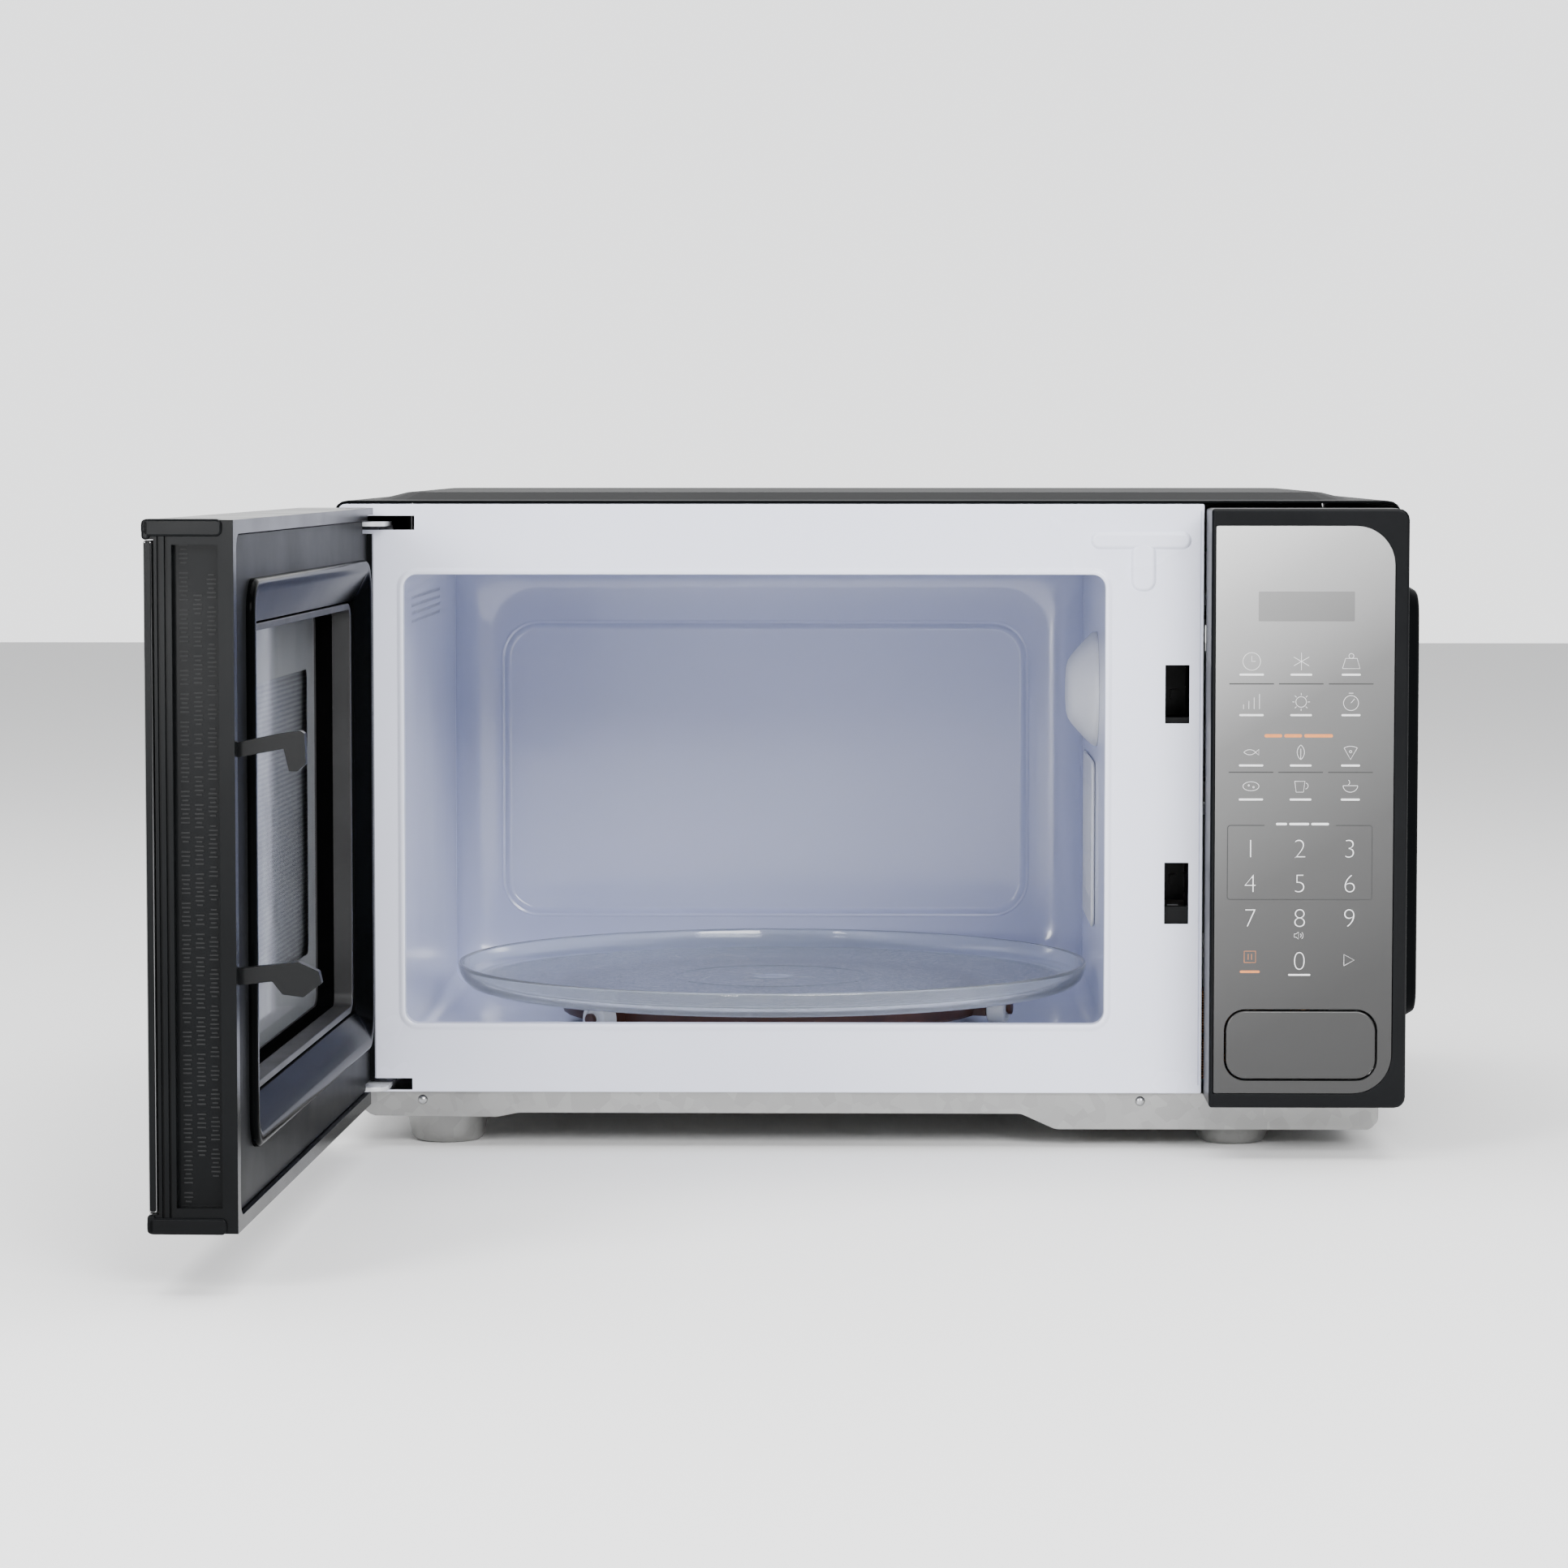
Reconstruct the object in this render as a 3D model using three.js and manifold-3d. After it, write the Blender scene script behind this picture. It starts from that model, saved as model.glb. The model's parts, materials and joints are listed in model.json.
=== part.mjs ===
// Countertop microwave oven, door open. Millimetres, +Z up, the front faces -Y.
// Pieces are laid out from the centre of the cabinet's front plane at table height,
// and the whole oven is then moved so that its origin is the bottom centre of its box.
import * as THREE from 'three';
import { mergeVertices } from 'three/addons/utils/BufferGeometryUtils.js';
import Module from 'manifold-3d';

const wasm = await Module();
wasm.setup();

// ---- driving dimensions ----
const GAP = 0.3;                 // clearance between separate pieces
const SHEET = 1;                 // steel sheet of the frame and the cavity
const ARC_STEPS = 2;             // half the facets of a quarter turn in an extruded outline
const CASE = { left: -246, right: 246, bottom: 26, top: 300.7, depth: 376, skin: 1.2, corner: 6 };
const BULGE = { out: 15.5, front: 50, back: 345, bottom: 48, top: 266, slope: 9 };
const ROOF_PAD = { rise: 3.4, left: -232, right: 229, front: 44, back: 352, slope: 14 };
const OPENING = { left: -214, right: 110.2, bottom: 58.2, top: 266.6, corner: 6 };
const FRAME = { left: -244.5, right: 155.6, bottom: 26, top: 299.2 };
const CAVITY = { left: -218, right: 115, floor: 40, roof: 270, back: 350, corner: 14 };
const PANEL = { left: 156.4, right: 246, bottom: 24.3, top: 297.5, front: -37 };
const FACE = { left: 158.2, right: 239.8, bottom: 30.7, top: 290, corner: 18 };
const DISPLAY = { left: 177.8, right: 221.3, bottom: 246.5, top: 260 };
const BUTTON = { left: 163.4, right: 232.8, bottom: 37, top: 69.4, corner: 9.5 };
const LATCH_X = 143.5;           // centre of the hooks and of their slots
const UPPER_HOOK_Z = 201.4;
const LOWER_HOOK_Z = 113.6;
const DOOR = { left: -246, right: 154.8, bottom: 24.3, top: 297.5, front: -37, back: -2.3 };
const GLASS = { left: -239.7, right: 154.5, bottom: 31.8, top: 289.7, thick: 3.5 };
const WINDOW_DEPTH = { reveal: -23.8, film: -24.6, screen: -27.8, seat: -31 };
const PIN = { x: -236.3, y: -12, r: 3 };
const DOOR_OPEN_DEG = 92;
const TRAY = { x: -47, y: 185, r: 157.5, bottom: 56.6, thick: 4, rim: 69 };
const WHEEL = { r: 8, ring: 116.5, width: 9, angles: [225, 345, 105] };
const FAN = { x: 182, z: 190, r: 50, front: 322 };
const MAGNETRON = { y: 185, z: 205 };
const LEVER = { y: 16, z: 96, shaft: 3.5 };
const SPRING = { r: 2.6, wire: 0.5, turns: 5, length: 17 };

// ---- finishes ----
function finish(color, roughness, metalness) {
  return new THREE.MeshStandardMaterial({ color, roughness, metalness });
}
const CASE_BLACK = finish(0x17191b, 0.42, 0.3);
const GLOSS_BLACK = finish(0x0b0c0d, 0.18, 0.0);
const SATIN_BLACK = finish(0x1c1d1f, 0.5, 0.0);
const ENAMEL = finish(0xdfe3f2, 0.3, 0.05);
const ZINC = finish(0xb4b6b6, 0.45, 0.85);
const SILVER = finish(0x9fa1a2, 0.3, 0.6);
const STEEL = finish(0x9a9c9f, 0.35, 1.0);
const COPPER = finish(0xb06a35, 0.35, 1.0);
const WHITE = finish(0xf1f2f4, 0.4, 0.0);
const BROWN = finish(0x4a2318, 0.45, 0.0);
const CLEAR = finish(0xd6e4e6, 0.1, 0.0);
const SMOKE = finish(0x5b5e60, 0.25, 0.3);
const BOARD = finish(0x2f6b3c, 0.5, 0.0);

// ---- solids ----
function toSolid(geometry) {
  geometry.deleteAttribute('normal');
  geometry.deleteAttribute('uv');
  const merged = mergeVertices(geometry, 1e-4);
  return new wasm.Manifold(new wasm.Mesh({
    numProp: 3,
    vertProperties: new Float32Array(merged.attributes.position.array),
    triVerts: new Uint32Array(merged.index.array),
  }));
}

function toGeometry(solid) {
  const mesh = solid.getMesh();
  const geometry = new THREE.BufferGeometry();
  geometry.setAttribute('position', new THREE.BufferAttribute(mesh.vertProperties, 3));
  geometry.setIndex(new THREE.BufferAttribute(mesh.triVerts, 1));
  geometry.computeVertexNormals();
  return geometry;
}

const join = (first, ...others) => others.reduce((sum, other) => sum.add(other), first);
const cut = (first, ...others) => others.reduce((rest, other) => rest.subtract(other), first);

function block(x, y, z) {
  const geometry = new THREE.BoxGeometry(x[1] - x[0], y[1] - y[0], z[1] - z[0]);
  geometry.translate((x[0] + x[1]) / 2, (y[0] + y[1]) / 2, (z[0] + z[1]) / 2);
  return toSolid(geometry);
}

// A rectangle whose corners are rounded: one radius, or lower left, lower right, upper right, upper left.
function roundRect([left, right], [low, high], radius) {
  const [a, b, c, d] = Array.isArray(radius) ? radius : Array(4).fill(radius);
  const shape = new THREE.Shape();
  shape.moveTo(left + a, low);
  shape.lineTo(right - b, low);
  if (b) shape.absarc(right - b, low + b, b, -Math.PI / 2, 0);
  shape.lineTo(right, high - c);
  if (c) shape.absarc(right - c, high - c, c, 0, Math.PI / 2);
  shape.lineTo(left + d, high);
  if (d) shape.absarc(left + d, high - d, d, Math.PI / 2, Math.PI);
  shape.lineTo(left, low + a);
  if (a) shape.absarc(left + a, low + a, a, Math.PI, Math.PI * 1.5);
  return shape;
}

function outline(points) {
  return new THREE.Shape(points.map(([u, v]) => new THREE.Vector2(u, v)));
}

// front: drawn in X and Z, deep along Y. plan: X and Y, along Z. side: Y and Z, along X.
const AXES = {
  front: [new THREE.Vector3(1, 0, 0), new THREE.Vector3(0, 0, 1), new THREE.Vector3(0, -1, 0)],
  plan: [new THREE.Vector3(1, 0, 0), new THREE.Vector3(0, 1, 0), new THREE.Vector3(0, 0, 1)],
  side: [new THREE.Vector3(0, 1, 0), new THREE.Vector3(0, 0, 1), new THREE.Vector3(1, 0, 0)],
};

function extrude(shape, plane, [from, to], { slope = 0, rise = 0 } = {}) {
  const geometry = new THREE.ExtrudeGeometry(shape, {
    depth: to - from - 2 * rise,
    steps: 1,
    curveSegments: ARC_STEPS,
    bevelEnabled: slope > 0,
    bevelThickness: rise,
    bevelSize: slope,
    bevelOffset: -slope,
    bevelSegments: 1,
  });
  geometry.translate(0, 0, plane === 'front' ? rise - to : from + rise);
  geometry.applyMatrix4(new THREE.Matrix4().makeBasis(...AXES[plane]));
  return toSolid(geometry);
}

// A round bar along X, Y or Z through a point given by its two other coordinates.
function rod(axis, [u, v], r, [from, to], sides = 14) {
  const geometry = new THREE.CylinderGeometry(r, r, to - from, sides);
  const middle = (from + to) / 2;
  if (axis === 'x') geometry.rotateZ(-Math.PI / 2).translate(middle, u, v);
  if (axis === 'y') geometry.translate(u, middle, v);
  if (axis === 'z') geometry.rotateX(Math.PI / 2).translate(u, v, middle);
  return toSolid(geometry);
}

// A turned solid about Z; the profile runs anticlockwise in radius and height.
function turned(profile, sides) {
  const points = profile.map(([r, z]) => new THREE.Vector2(r, z));
  const geometry = new THREE.LatheGeometry(points, sides);
  geometry.rotateX(Math.PI / 2);
  return toSolid(geometry);
}

// The same profile as a ring: it closes on itself and leaves the middle open.
function ring(inner, outer, low, high, sides) {
  return turned([[inner, low], [outer, low], [outer, high], [inner, high], [inner, low]], sides);
}

function row(count, first, pitch, make) {
  return Array.from({ length: count }, (_, i) => make(first + i * pitch, i));
}

const oven = new THREE.Group();
const door = new THREE.Group();
oven.add(door);

function piece(name, solid, material, parent = oven) {
  const mesh = new THREE.Mesh(toGeometry(solid), material);
  mesh.name = name;
  parent.add(mesh);
}

// ---- cabinet shell ----
function wrapVolume(inset, front, back) {
  const { left, right, bottom, top, corner } = CASE;
  const body = extrude(roundRect([left + inset, right - inset],
    [inset ? bottom - 9 : bottom, top - inset], [0, 0, corner - inset, corner - inset]), 'front',
    [front, back]);
  const bulge = extrude(roundRect([BULGE.front + inset, BULGE.back - inset],
    [BULGE.bottom + inset, BULGE.top - inset], 20), 'side',
    [right - 2 * BULGE.out, right + BULGE.out - inset],
  { slope: BULGE.slope, rise: BULGE.out });
  const pad = extrude(roundRect([ROOF_PAD.left + inset, ROOF_PAD.right - inset],
    [ROOF_PAD.front + inset, ROOF_PAD.back - inset], 24), 'plan',
    [top - 2 * ROOF_PAD.rise, top + ROOF_PAD.rise - inset],
  { slope: ROOF_PAD.slope, rise: ROOF_PAD.rise });
  return join(body, bulge, pad);
}

function outerCase() {
  const louvres = row(9, 96, 15, (z) => block([CASE.right, CASE.right + 30], [270, 318], [z, z + 3.5]));
  return cut(wrapVolume(0, 0, CASE.depth), wrapVolume(CASE.skin, -1, CASE.depth + 1), ...louvres);
}

const CASE_INSIDE = [CASE.left + CASE.skin + GAP, CASE.right - CASE.skin - GAP];
const BACK_Y = CASE.depth - 4;
const GLAND = { x: 190, z: 52, r: 8 };
const SCREWS = [[-228, 280], [228, 280], [-228, 44], [228, 44]];

function backPanel() {
  const sheet = extrude(roundRect(CASE_INSIDE, [CASE.bottom + GAP, CASE.top - CASE.skin - GAP],
    [1, 1, 6, 6]),
    'front', [BACK_Y, BACK_Y + SHEET]);
  const vents = row(8, 138, 11, (x) => block([x, x + 4], [BACK_Y - 1, BACK_Y + 3], [150, 230]));
  const gland = rod('y', [GLAND.x, GLAND.z], GLAND.r + GAP, [BACK_Y - 1, BACK_Y + 3]);
  const holes = SCREWS.map((at) => rod('y', at, 2.3, [BACK_Y - 1, BACK_Y + 3], 12));
  return cut(sheet, ...vents, gland, ...holes);
}

function caseScrew([x, z]) {
  const shank = rod('y', [x, z], 2, [BACK_Y - 6, BACK_Y + SHEET + 1], 12);
  const head = rod('y', [x, z], 4.2, [BACK_Y + SHEET + GAP, BACK_Y + SHEET + 2.6], 12);
  const slot = block([x - 3, x + 3], [BACK_Y + SHEET + 1.8, BACK_Y + 9], [z - 0.5, z + 0.5]);
  return cut(join(shank, head), slot);
}

// A shallow tray of bare sheet steel, deeper under the component bay, with pressed feet.
function basePan() {
  const rim = CASE.bottom - GAP;
  const section = (t) => outline([
    [-236 + t, rim + (t ? 2 : 0)], [-236 + t, 19 + t], [-230 + t, 14.5 + t], [-172, 14 + t],
    [-162, 16 + t],
    [72, 16 + t], [88, 8.8 + t], [234 - t, 8.8 + t], [238 - t, 13 + t], [238 - t, rim + (t ? 2 : 0)]]);
  const tray = cut(extrude(section(0), 'front', [3, 370]),
    extrude(section(SHEET), 'front', [3 + SHEET, 370 - SHEET]));
  const foot = (x, y, wide, narrow, top) => turned([[0, 0], [narrow - 2, 0], [narrow, 2],
    [wide, top], [0, top]], 20)
    .translate([x, y, 0]);
  return join(tray, foot(-197, 30, 19.5, 17, 14.8), foot(172, 30, 18.5, 16, 9.6),
    foot(-197, 340, 19.5, 17, 14.8), foot(172, 340, 18.5, 16, 9.6));
}

// ---- front frame and cavity ----
function faceFrame() {
  const sheet = extrude(roundRect([FRAME.left, FRAME.right], [FRAME.bottom, FRAME.top],
    [1, 1, 1, 4]), 'front', [0, SHEET]);
  const { left, right, bottom, top, corner } = OPENING;
  const bead = extrude(roundRect([left - 2.5, right + 2.5], [bottom - 2.5, top + 2.5],
    corner + 2.5), 'front',
    [-0.9, SHEET], { slope: 0.8, rise: 0.8 });
  const hole = extrude(roundRect([left, right], [bottom, top], corner), 'front', [-5, 5]);
  const stiffener = join(
    extrude(roundRect([104, 149], [279, 286], 3.4), 'front', [-1, 0.6]),
    extrude(roundRect([122.5, 132.8], [259.5, 283], 4.5), 'front', [-1, 0.6]));
  const slots = [
    block([LATCH_X - 5.6, LATCH_X + 5.6], [-2, 4], [198, 225]),
    block([LATCH_X - 5.6, LATCH_X + 5.6], [-2, 4], [105, 133.5]),
    block([-241, -208.8], [-2, 4], [287.2, 293.8]),
    block([-241, -211], [-2, 4], [27, 32.4]),
  ];
  return cut(join(sheet, bead, stiffener), hole, ...slots);
}

function cavityWrapper() {
  const { left, right, floor, roof, back, corner } = CAVITY;
  const tube = (t, low) => roundRect([left - t, right + t], [low, roof + t],
    [0, 0, corner + t, corner + t]);
  const shell = cut(extrude(tube(SHEET, floor + GAP), 'front', [SHEET + GAP, back]),
    extrude(tube(0, floor - 5), 'front', [0, back + 5]));
  return cut(shell, rod('x', [MAGNETRON.y, MAGNETRON.z], 12, [right - 5, right + 5]));
}

function cavityFloor() {
  const { left, right, floor, back } = CAVITY;
  const sheet = block([left - SHEET, right + SHEET], [SHEET + GAP, back], [floor - SHEET, floor]);
  return cut(sheet, rod('z', [TRAY.x, TRAY.y], 7, [floor - 5, floor + 5]));
}

function cavityBack() {
  const { left, right, floor, roof, back } = CAVITY;
  const near = back + GAP;
  const sheet = block([left - SHEET, right + SHEET], [near, near + SHEET], [floor - SHEET, roof + SHEET]);
  const panel = [[-192, 84], [77.6, 230.5]];
  const pressed = extrude(roundRect(...panel, 17), 'front', [near - 2, near + 4], { slope: 3, rise: 3 });
  const hollow = extrude(roundRect(...panel, 17), 'front', [near - 6, near + 2.6], { slope: 3, rise: 3 });
  return cut(join(sheet, cut(pressed, block([-300, 300], [near - 3, near], [0, 300]))), hollow);
}

function antennaCover() {
  const wide = 28.6;
  const tall = 15.6;
  const wall = 1.6;
  const cap = (r, h) => row(6, 0, Math.PI / 10, (a) => [r * Math.cos(a), h * Math.sin(a)]).slice(0, 5);
  const profile = [...cap(wide, tall), [0, tall], [0, tall - wall],
    ...cap(wide - wall, tall - wall).reverse(),
    [wide, 0]];
  return turned(profile, 20).rotate([0, -90, 0]).translate([CAVITY.right - GAP, MAGNETRON.y,
    MAGNETRON.z]);
}

function sideVentCover() {
  const x = CAVITY.right - GAP;
  const plate = extrude(roundRect([196, 292], [84, 168], 5), 'side', [x - 1.6, x],
    { slope: 0.7, rise: 0.7 });
  const slots = row(8, 208, 10, (y) => block([x - 3, x + 3], [y, y + 3], [98, 154]));
  return cut(plate, ...slots);
}

// ---- control panel ----
const faceShape = (inset) => roundRect([FACE.left + inset, FACE.right - inset],
  [FACE.bottom + inset, FACE.top - inset], [0.8, FACE.corner - inset, FACE.corner - inset, 0.8]);
const buttonShape = (inset) => roundRect([BUTTON.left + inset, BUTTON.right - inset],
  [BUTTON.bottom + inset, BUTTON.top - inset], BUTTON.corner - inset);

function panelBezel() {
  const { left, right, bottom, top, front } = PANEL;
  const shell = extrude(roundRect([left, right], [bottom, top], [1.5, 5, 5, 1.5]), 'front', [front, -GAP],
    { slope: 1, rise: 1 });
  const tongue = extrude(roundRect([left + 2, right - 2.4], [bottom + 3, top - 2], [1, 4, 4, 1]),
    'front', [-3, 12]);
  const inside = extrude(roundRect([left + 3.4, right - 4.4], [bottom + 5, top - 4], 2), 'front',
    [front + 4, 14]);
  return cut(join(shell, tongue), inside,
    extrude(faceShape(0), 'front', [front - 1, front + 1.6]),
    extrude(buttonShape(0), 'front', [front - 1, front + 6]),
    block([DISPLAY.left, DISPLAY.right], [front - 1, front + 6], [DISPLAY.bottom, DISPLAY.top]));
}

function panelFace() {
  const plate = extrude(faceShape(GAP), 'front', [PANEL.front + 0.3, PANEL.front + 1.3]);
  return cut(plate, extrude(buttonShape(-GAP), 'front', [PANEL.front - 1, PANEL.front + 3]),
    block([DISPLAY.left, DISPLAY.right], [PANEL.front - 1, PANEL.front + 3],
      [DISPLAY.bottom, DISPLAY.top]));
}

function displayWindow() {
  return block([DISPLAY.left + GAP, DISPLAY.right - GAP], [PANEL.front + 0.4, PANEL.front + 1.9],
    [DISPLAY.bottom + GAP, DISPLAY.top - GAP]);
}

function displayModule() {
  return block([DISPLAY.left + 1, DISPLAY.right - 1], [PANEL.front + 4.4, PANEL.front + 12],
    [DISPLAY.bottom + 0.6, DISPLAY.top - 0.6]);
}

function controlBoard() {
  const card = block([163, 238], [PANEL.front + 12.3, PANEL.front + 13.9], [104, 286]);
  const relay = block([170, 190], [PANEL.front + 13.5, PANEL.front + 29], [120, 136]);
  const supply = block([198, 230], [PANEL.front + 13.5, PANEL.front + 34], [112, 142]);
  const buzzer = rod('y', [212, 172], 7, [PANEL.front + 13.5, PANEL.front + 22]);
  return join(card, relay, supply, buzzer);
}

// The cap has a stem that reaches back and up to the release lever.
function openButton() {
  const { front } = PANEL;
  const cap = extrude(buttonShape(0.7), 'front', [front + 0.1, front + 5], { slope: 0.5, rise: 0.5 });
  const riser = block([186, 194], [front + 4.5, front + 8], [48, 77]);
  const stem = block([186, 194], [front + 5, LEVER.y - 8.2], [72, 77]);
  return join(cap, riser, stem);
}

function releaseLever() {
  const { y, z, shaft } = LEVER;
  const axle = rod('x', [y, z], shaft, [138, 198]);
  const pushed = block([185, 195], [y - 7.8, y - 3.8], [z - 23, z]);
  const web = block([185, 195], [y - 7.8, y], [z - 3, z + 3]);
  const lifting = block([LATCH_X - 2.5, LATCH_X + 2.5], [y, y + 5], [z, z + 15.5]);
  const finger = block([LATCH_X - 2.5, LATCH_X + 2.5], [y, y + 14], [z + 12, z + 15.5]);
  return join(axle, pushed, web, lifting, finger);
}

// A moulded bracket behind the slots, with a sill for each hook and a bearing for the lever.
function latchBoard() {
  const web = block([151.2, 153.8], [SHEET + GAP, 62], [84, 242]);
  const sills = [UPPER_HOOK_Z, LOWER_HOOK_Z].map((z) => block([137, 152], [3, 9], [z - 9, z - 0.8]));
  const pad = block([137, 152], [54, 62], [150, 232]);
  return cut(join(web, ...sills, pad), rod('x', [LEVER.y, LEVER.z], LEVER.shaft + 0.8, [148, 158]));
}

function microSwitch(z) {
  const box = block([139, 149.4], [36.5, 52.5], [z, z + 27.8]);
  const plunger = block([142.5, 145.5], [34.6, 37], [z + 8, z + 12]);
  const tabs = row(3, z + 3, 9, (at) => block([149, 150.6], [44, 50], [at, at + 0.8]));
  return join(box, plunger, ...tabs);
}

// ---- microwave source and power supply ----
function magnetron() {
  const { y, z } = MAGNETRON;
  const yoke = cut(block([121, 200], [y - 38, y + 38], [z - 40, z + 40]),
    block([125, 196], [y - 40, y + 40], [z - 36, z + 36]));
  const anode = rod('x', [y, z], 19, [122, 198], 16);
  const fins = row(6, 134, 10.5, (x) => block([x, x + 1.2], [y - 34, y + 34], [z - 37, z + 37]));
  const antenna = rod('x', [y, z], 7.5, [102, 122], 16);
  const filter = block([199, 222], [y - 22, y + 22], [z - 20, z + 20]);
  return join(yoke, anode, ...fins, antenna, filter);
}

const CORE = { x: [140, 220], y: [52, 122], z: [12.5, 84] };
const WINDOW = { z: [28, 70], outer: [[150, 166], [194, 210]] };

function transformerCore() {
  const windows = WINDOW.outer.map((x) => block(x, [0, 200], WINDOW.z));
  const weld = block([132, 228], CORE.y, [10.6, 14]);
  return cut(join(block(CORE.x, CORE.y, CORE.z), weld), ...windows);
}

function winding(low, high) {
  const [[near], [, far]] = WINDOW.outer;
  const loop = extrude(roundRect([near + GAP, far - GAP], [CORE.y[0] - 15, CORE.y[1] + 15], 8),
    'plan', [low, high]);
  return cut(loop, block([WINDOW.outer[0][1] - GAP, WINDOW.outer[1][0] + GAP],
    [CORE.y[0] - GAP, CORE.y[1] + GAP], [low - 1, high + 1]));
}

function capacitor() {
  const can = extrude(roundRect([132, 184], [30, 62], 15), 'front', [232, 326],
    { slope: 1.5, rise: 1.5 });
  const tags = [146, 170].map((x) => block([x - 3, x + 3], [222, 233], [45.6, 46.4]));
  return join(can, ...tags);
}

function diode() {
  return join(rod('y', [158, 74], 3.2, [250, 270], 12), rod('y', [158, 74], 0.8, [240, 280], 8));
}

function fanShroud() {
  const { x, z, r, front } = FAN;
  const plate = extrude(roundRect([x - 58, x + 58], [z - 58, z + 58], 6), 'front',
    [front - 3, front + 18]);
  return cut(plate, rod('y', [x, z], r + 3, [front - 5, front + 30], 24));
}

function fanBlade() {
  const { x, z, r, front } = FAN;
  const hub = rod('y', [0, 0], 12, [front, front + 14], 16);
  const blades = row(5, 0, 72, (angle) => block([8, r], [-0.8, 0.8], [-11, 11])
    .rotate([32, 0, 0]).translate([0, front + 7, 0]).rotate([0, angle, 0]));
  const bore = rod('y', [0, 0], 2.6, [front + 4, front + 20], 12);
  return cut(join(hub, ...blades), bore).translate([x, 0, z]);
}

function fanMotor() {
  const { x, z, front } = FAN;
  const stack = block([x - 26, x + 26], [front + 24, front + 42], [z - 30, z + 22]);
  const coil = rod('x', [front + 33, z - 22], 14, [x - 14, x + 14], 20);
  const shaft = rod('y', [x, z], 2, [front + 6, front + 26], 12);
  return join(stack, coil, shaft);
}

function airDuct() {
  const { y, z } = MAGNETRON;
  const channel = (t, ends) => block([121 + t, 200 - t], [y - 92 - ends, y - 38 - GAP + ends],
    [z - 40 + t, z + 40 - t]);
  return cut(channel(0, 0), channel(2, 5));
}

function lampHolder() {
  const x = CAVITY.right + SHEET + GAP;
  return cut(block([x, x + 26], [300, 316], [118, 140]), rod('y', [x + 13, 129], 6.3, [298, 312]));
}

function lampBulb() {
  const y = [[0, 0], [5.6, 0], [5.6, 12], [10, 22], [12, 32], [9, 41], [0, 45]];
  return turned(y, 14).rotate([90, 0, 0]).translate([CAVITY.right + SHEET + GAP + 13, 311, 129]);
}

function filterBoard() {
  const card = block([132, 232], [262, 314], [272, 273.6]);
  const coil = rod('z', [160, 288], 12, [256, 273], 20);
  const fuse = rod('x', [300, 268], 3.4, [186, 212], 12);
  const lugs = [188, 210].map((x) => block([x - 1.5, x + 1.5], [298, 302], [266, 273]));
  return join(card, coil, fuse, ...lugs);
}

function thermalCutout() {
  const x = CAVITY.right + SHEET + GAP;
  return join(rod('x', [110, 258], 8, [x, x + 6]), block([x + 5, x + 12], [107, 113], [257, 259]));
}

function cordGland() {
  const { x, z, r } = GLAND;
  const body = join(rod('y', [x, z], r, [BACK_Y - 10, BACK_Y + 3]),
    rod('y', [x, z], r + 3, [BACK_Y + SHEET + GAP, BACK_Y + SHEET + 3]),
    rod('y', [x, z], r + 2, [BACK_Y - 4, BACK_Y - GAP]));
  return cut(body, rod('y', [x, z], 4, [BACK_Y - 20, BACK_Y + 20], 16));
}

// ---- turntable ----
function turntableMotor() {
  const can = rod('z', [0, 0], 24.5, [19.5, 36.5], 24);
  const ears = block([-33, 33], [-6, 6], [35, 36.5]);
  const shaft = rod('z', [0, 0], 3.2, [36, 48], 16);
  return join(can, ears, shaft).translate([TRAY.x, TRAY.y, 0]);
}

function driveCoupler() {
  const hub = ring(3.5, 9, 41, 50.5, 18);
  const crown = turned([[0, 50], [9, 50], [9, 54], [6.5, 56.2], [0, 56.2]], 18);
  const lobes = row(3, 60, 120, (angle) => extrude(roundRect([0, 18], [-3.2, 3.2], 3), 'plan', [50, 56.2])
    .rotate([0, 0, angle]));
  return join(hub, crown, ...lobes).translate([TRAY.x, TRAY.y, 0]);
}

function glassTray() {
  const { r, bottom, thick, rim } = TRAY;
  const top = bottom + thick;
  const plate = turned([[0, bottom], [r - 12, bottom], [r - 5, bottom + 2.2], [r, rim - 1.4],
    [r - 0.6, rim],
    [r - 2.8, rim], [r - 6, top + 3], [r - 12, top], [0, top]], 48);
  const ridges = row(3, 0, 120, (angle) => block([12.5, 21], [-3.2, 3.2], [bottom - 3.2, bottom + 1])
    .rotate([0, 0, angle]));
  return join(plate, ...ridges).translate([TRAY.x, TRAY.y, 0]);
}

const wheelZ = CAVITY.floor + GAP + WHEEL.r;
const outward = (solid, angle) => solid.rotate([0, 0, angle]).translate([TRAY.x, TRAY.y, 0]);

function rollerRing() {
  const hoop = ring(94, 105, 44.5, 52, 40);
  const { ring: at, width } = WHEEL;
  const axles = WHEEL.angles.map((angle) => join(
    rod('x', [0, wheelZ], 2.2, [100, at + width / 2 + 2.4], 12),
    rod('x', [0, wheelZ], 3.2, [at + width / 2 + 0.6, at + width / 2 + 2.4], 12),
    block([96, at - width / 2 - 0.6], [-6, 6], [44.5, 52])).rotate([0, 0, angle]));
  return join(hoop, ...axles).translate([TRAY.x, TRAY.y, 0]);
}

function rollerWheel(angle) {
  const { r, ring: at, width } = WHEEL;
  const profile = [[2.5, -width / 2], [r - 0.8, -width / 2], [r, 0.8 - width / 2], [r, width / 2 - 0.8],
    [r - 0.8, width / 2], [2.5, width / 2], [2.5, -width / 2]];
  return outward(turned(profile, 20).rotate([0, 90, 0]).translate([at, 0, wheelZ]), angle);
}

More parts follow.
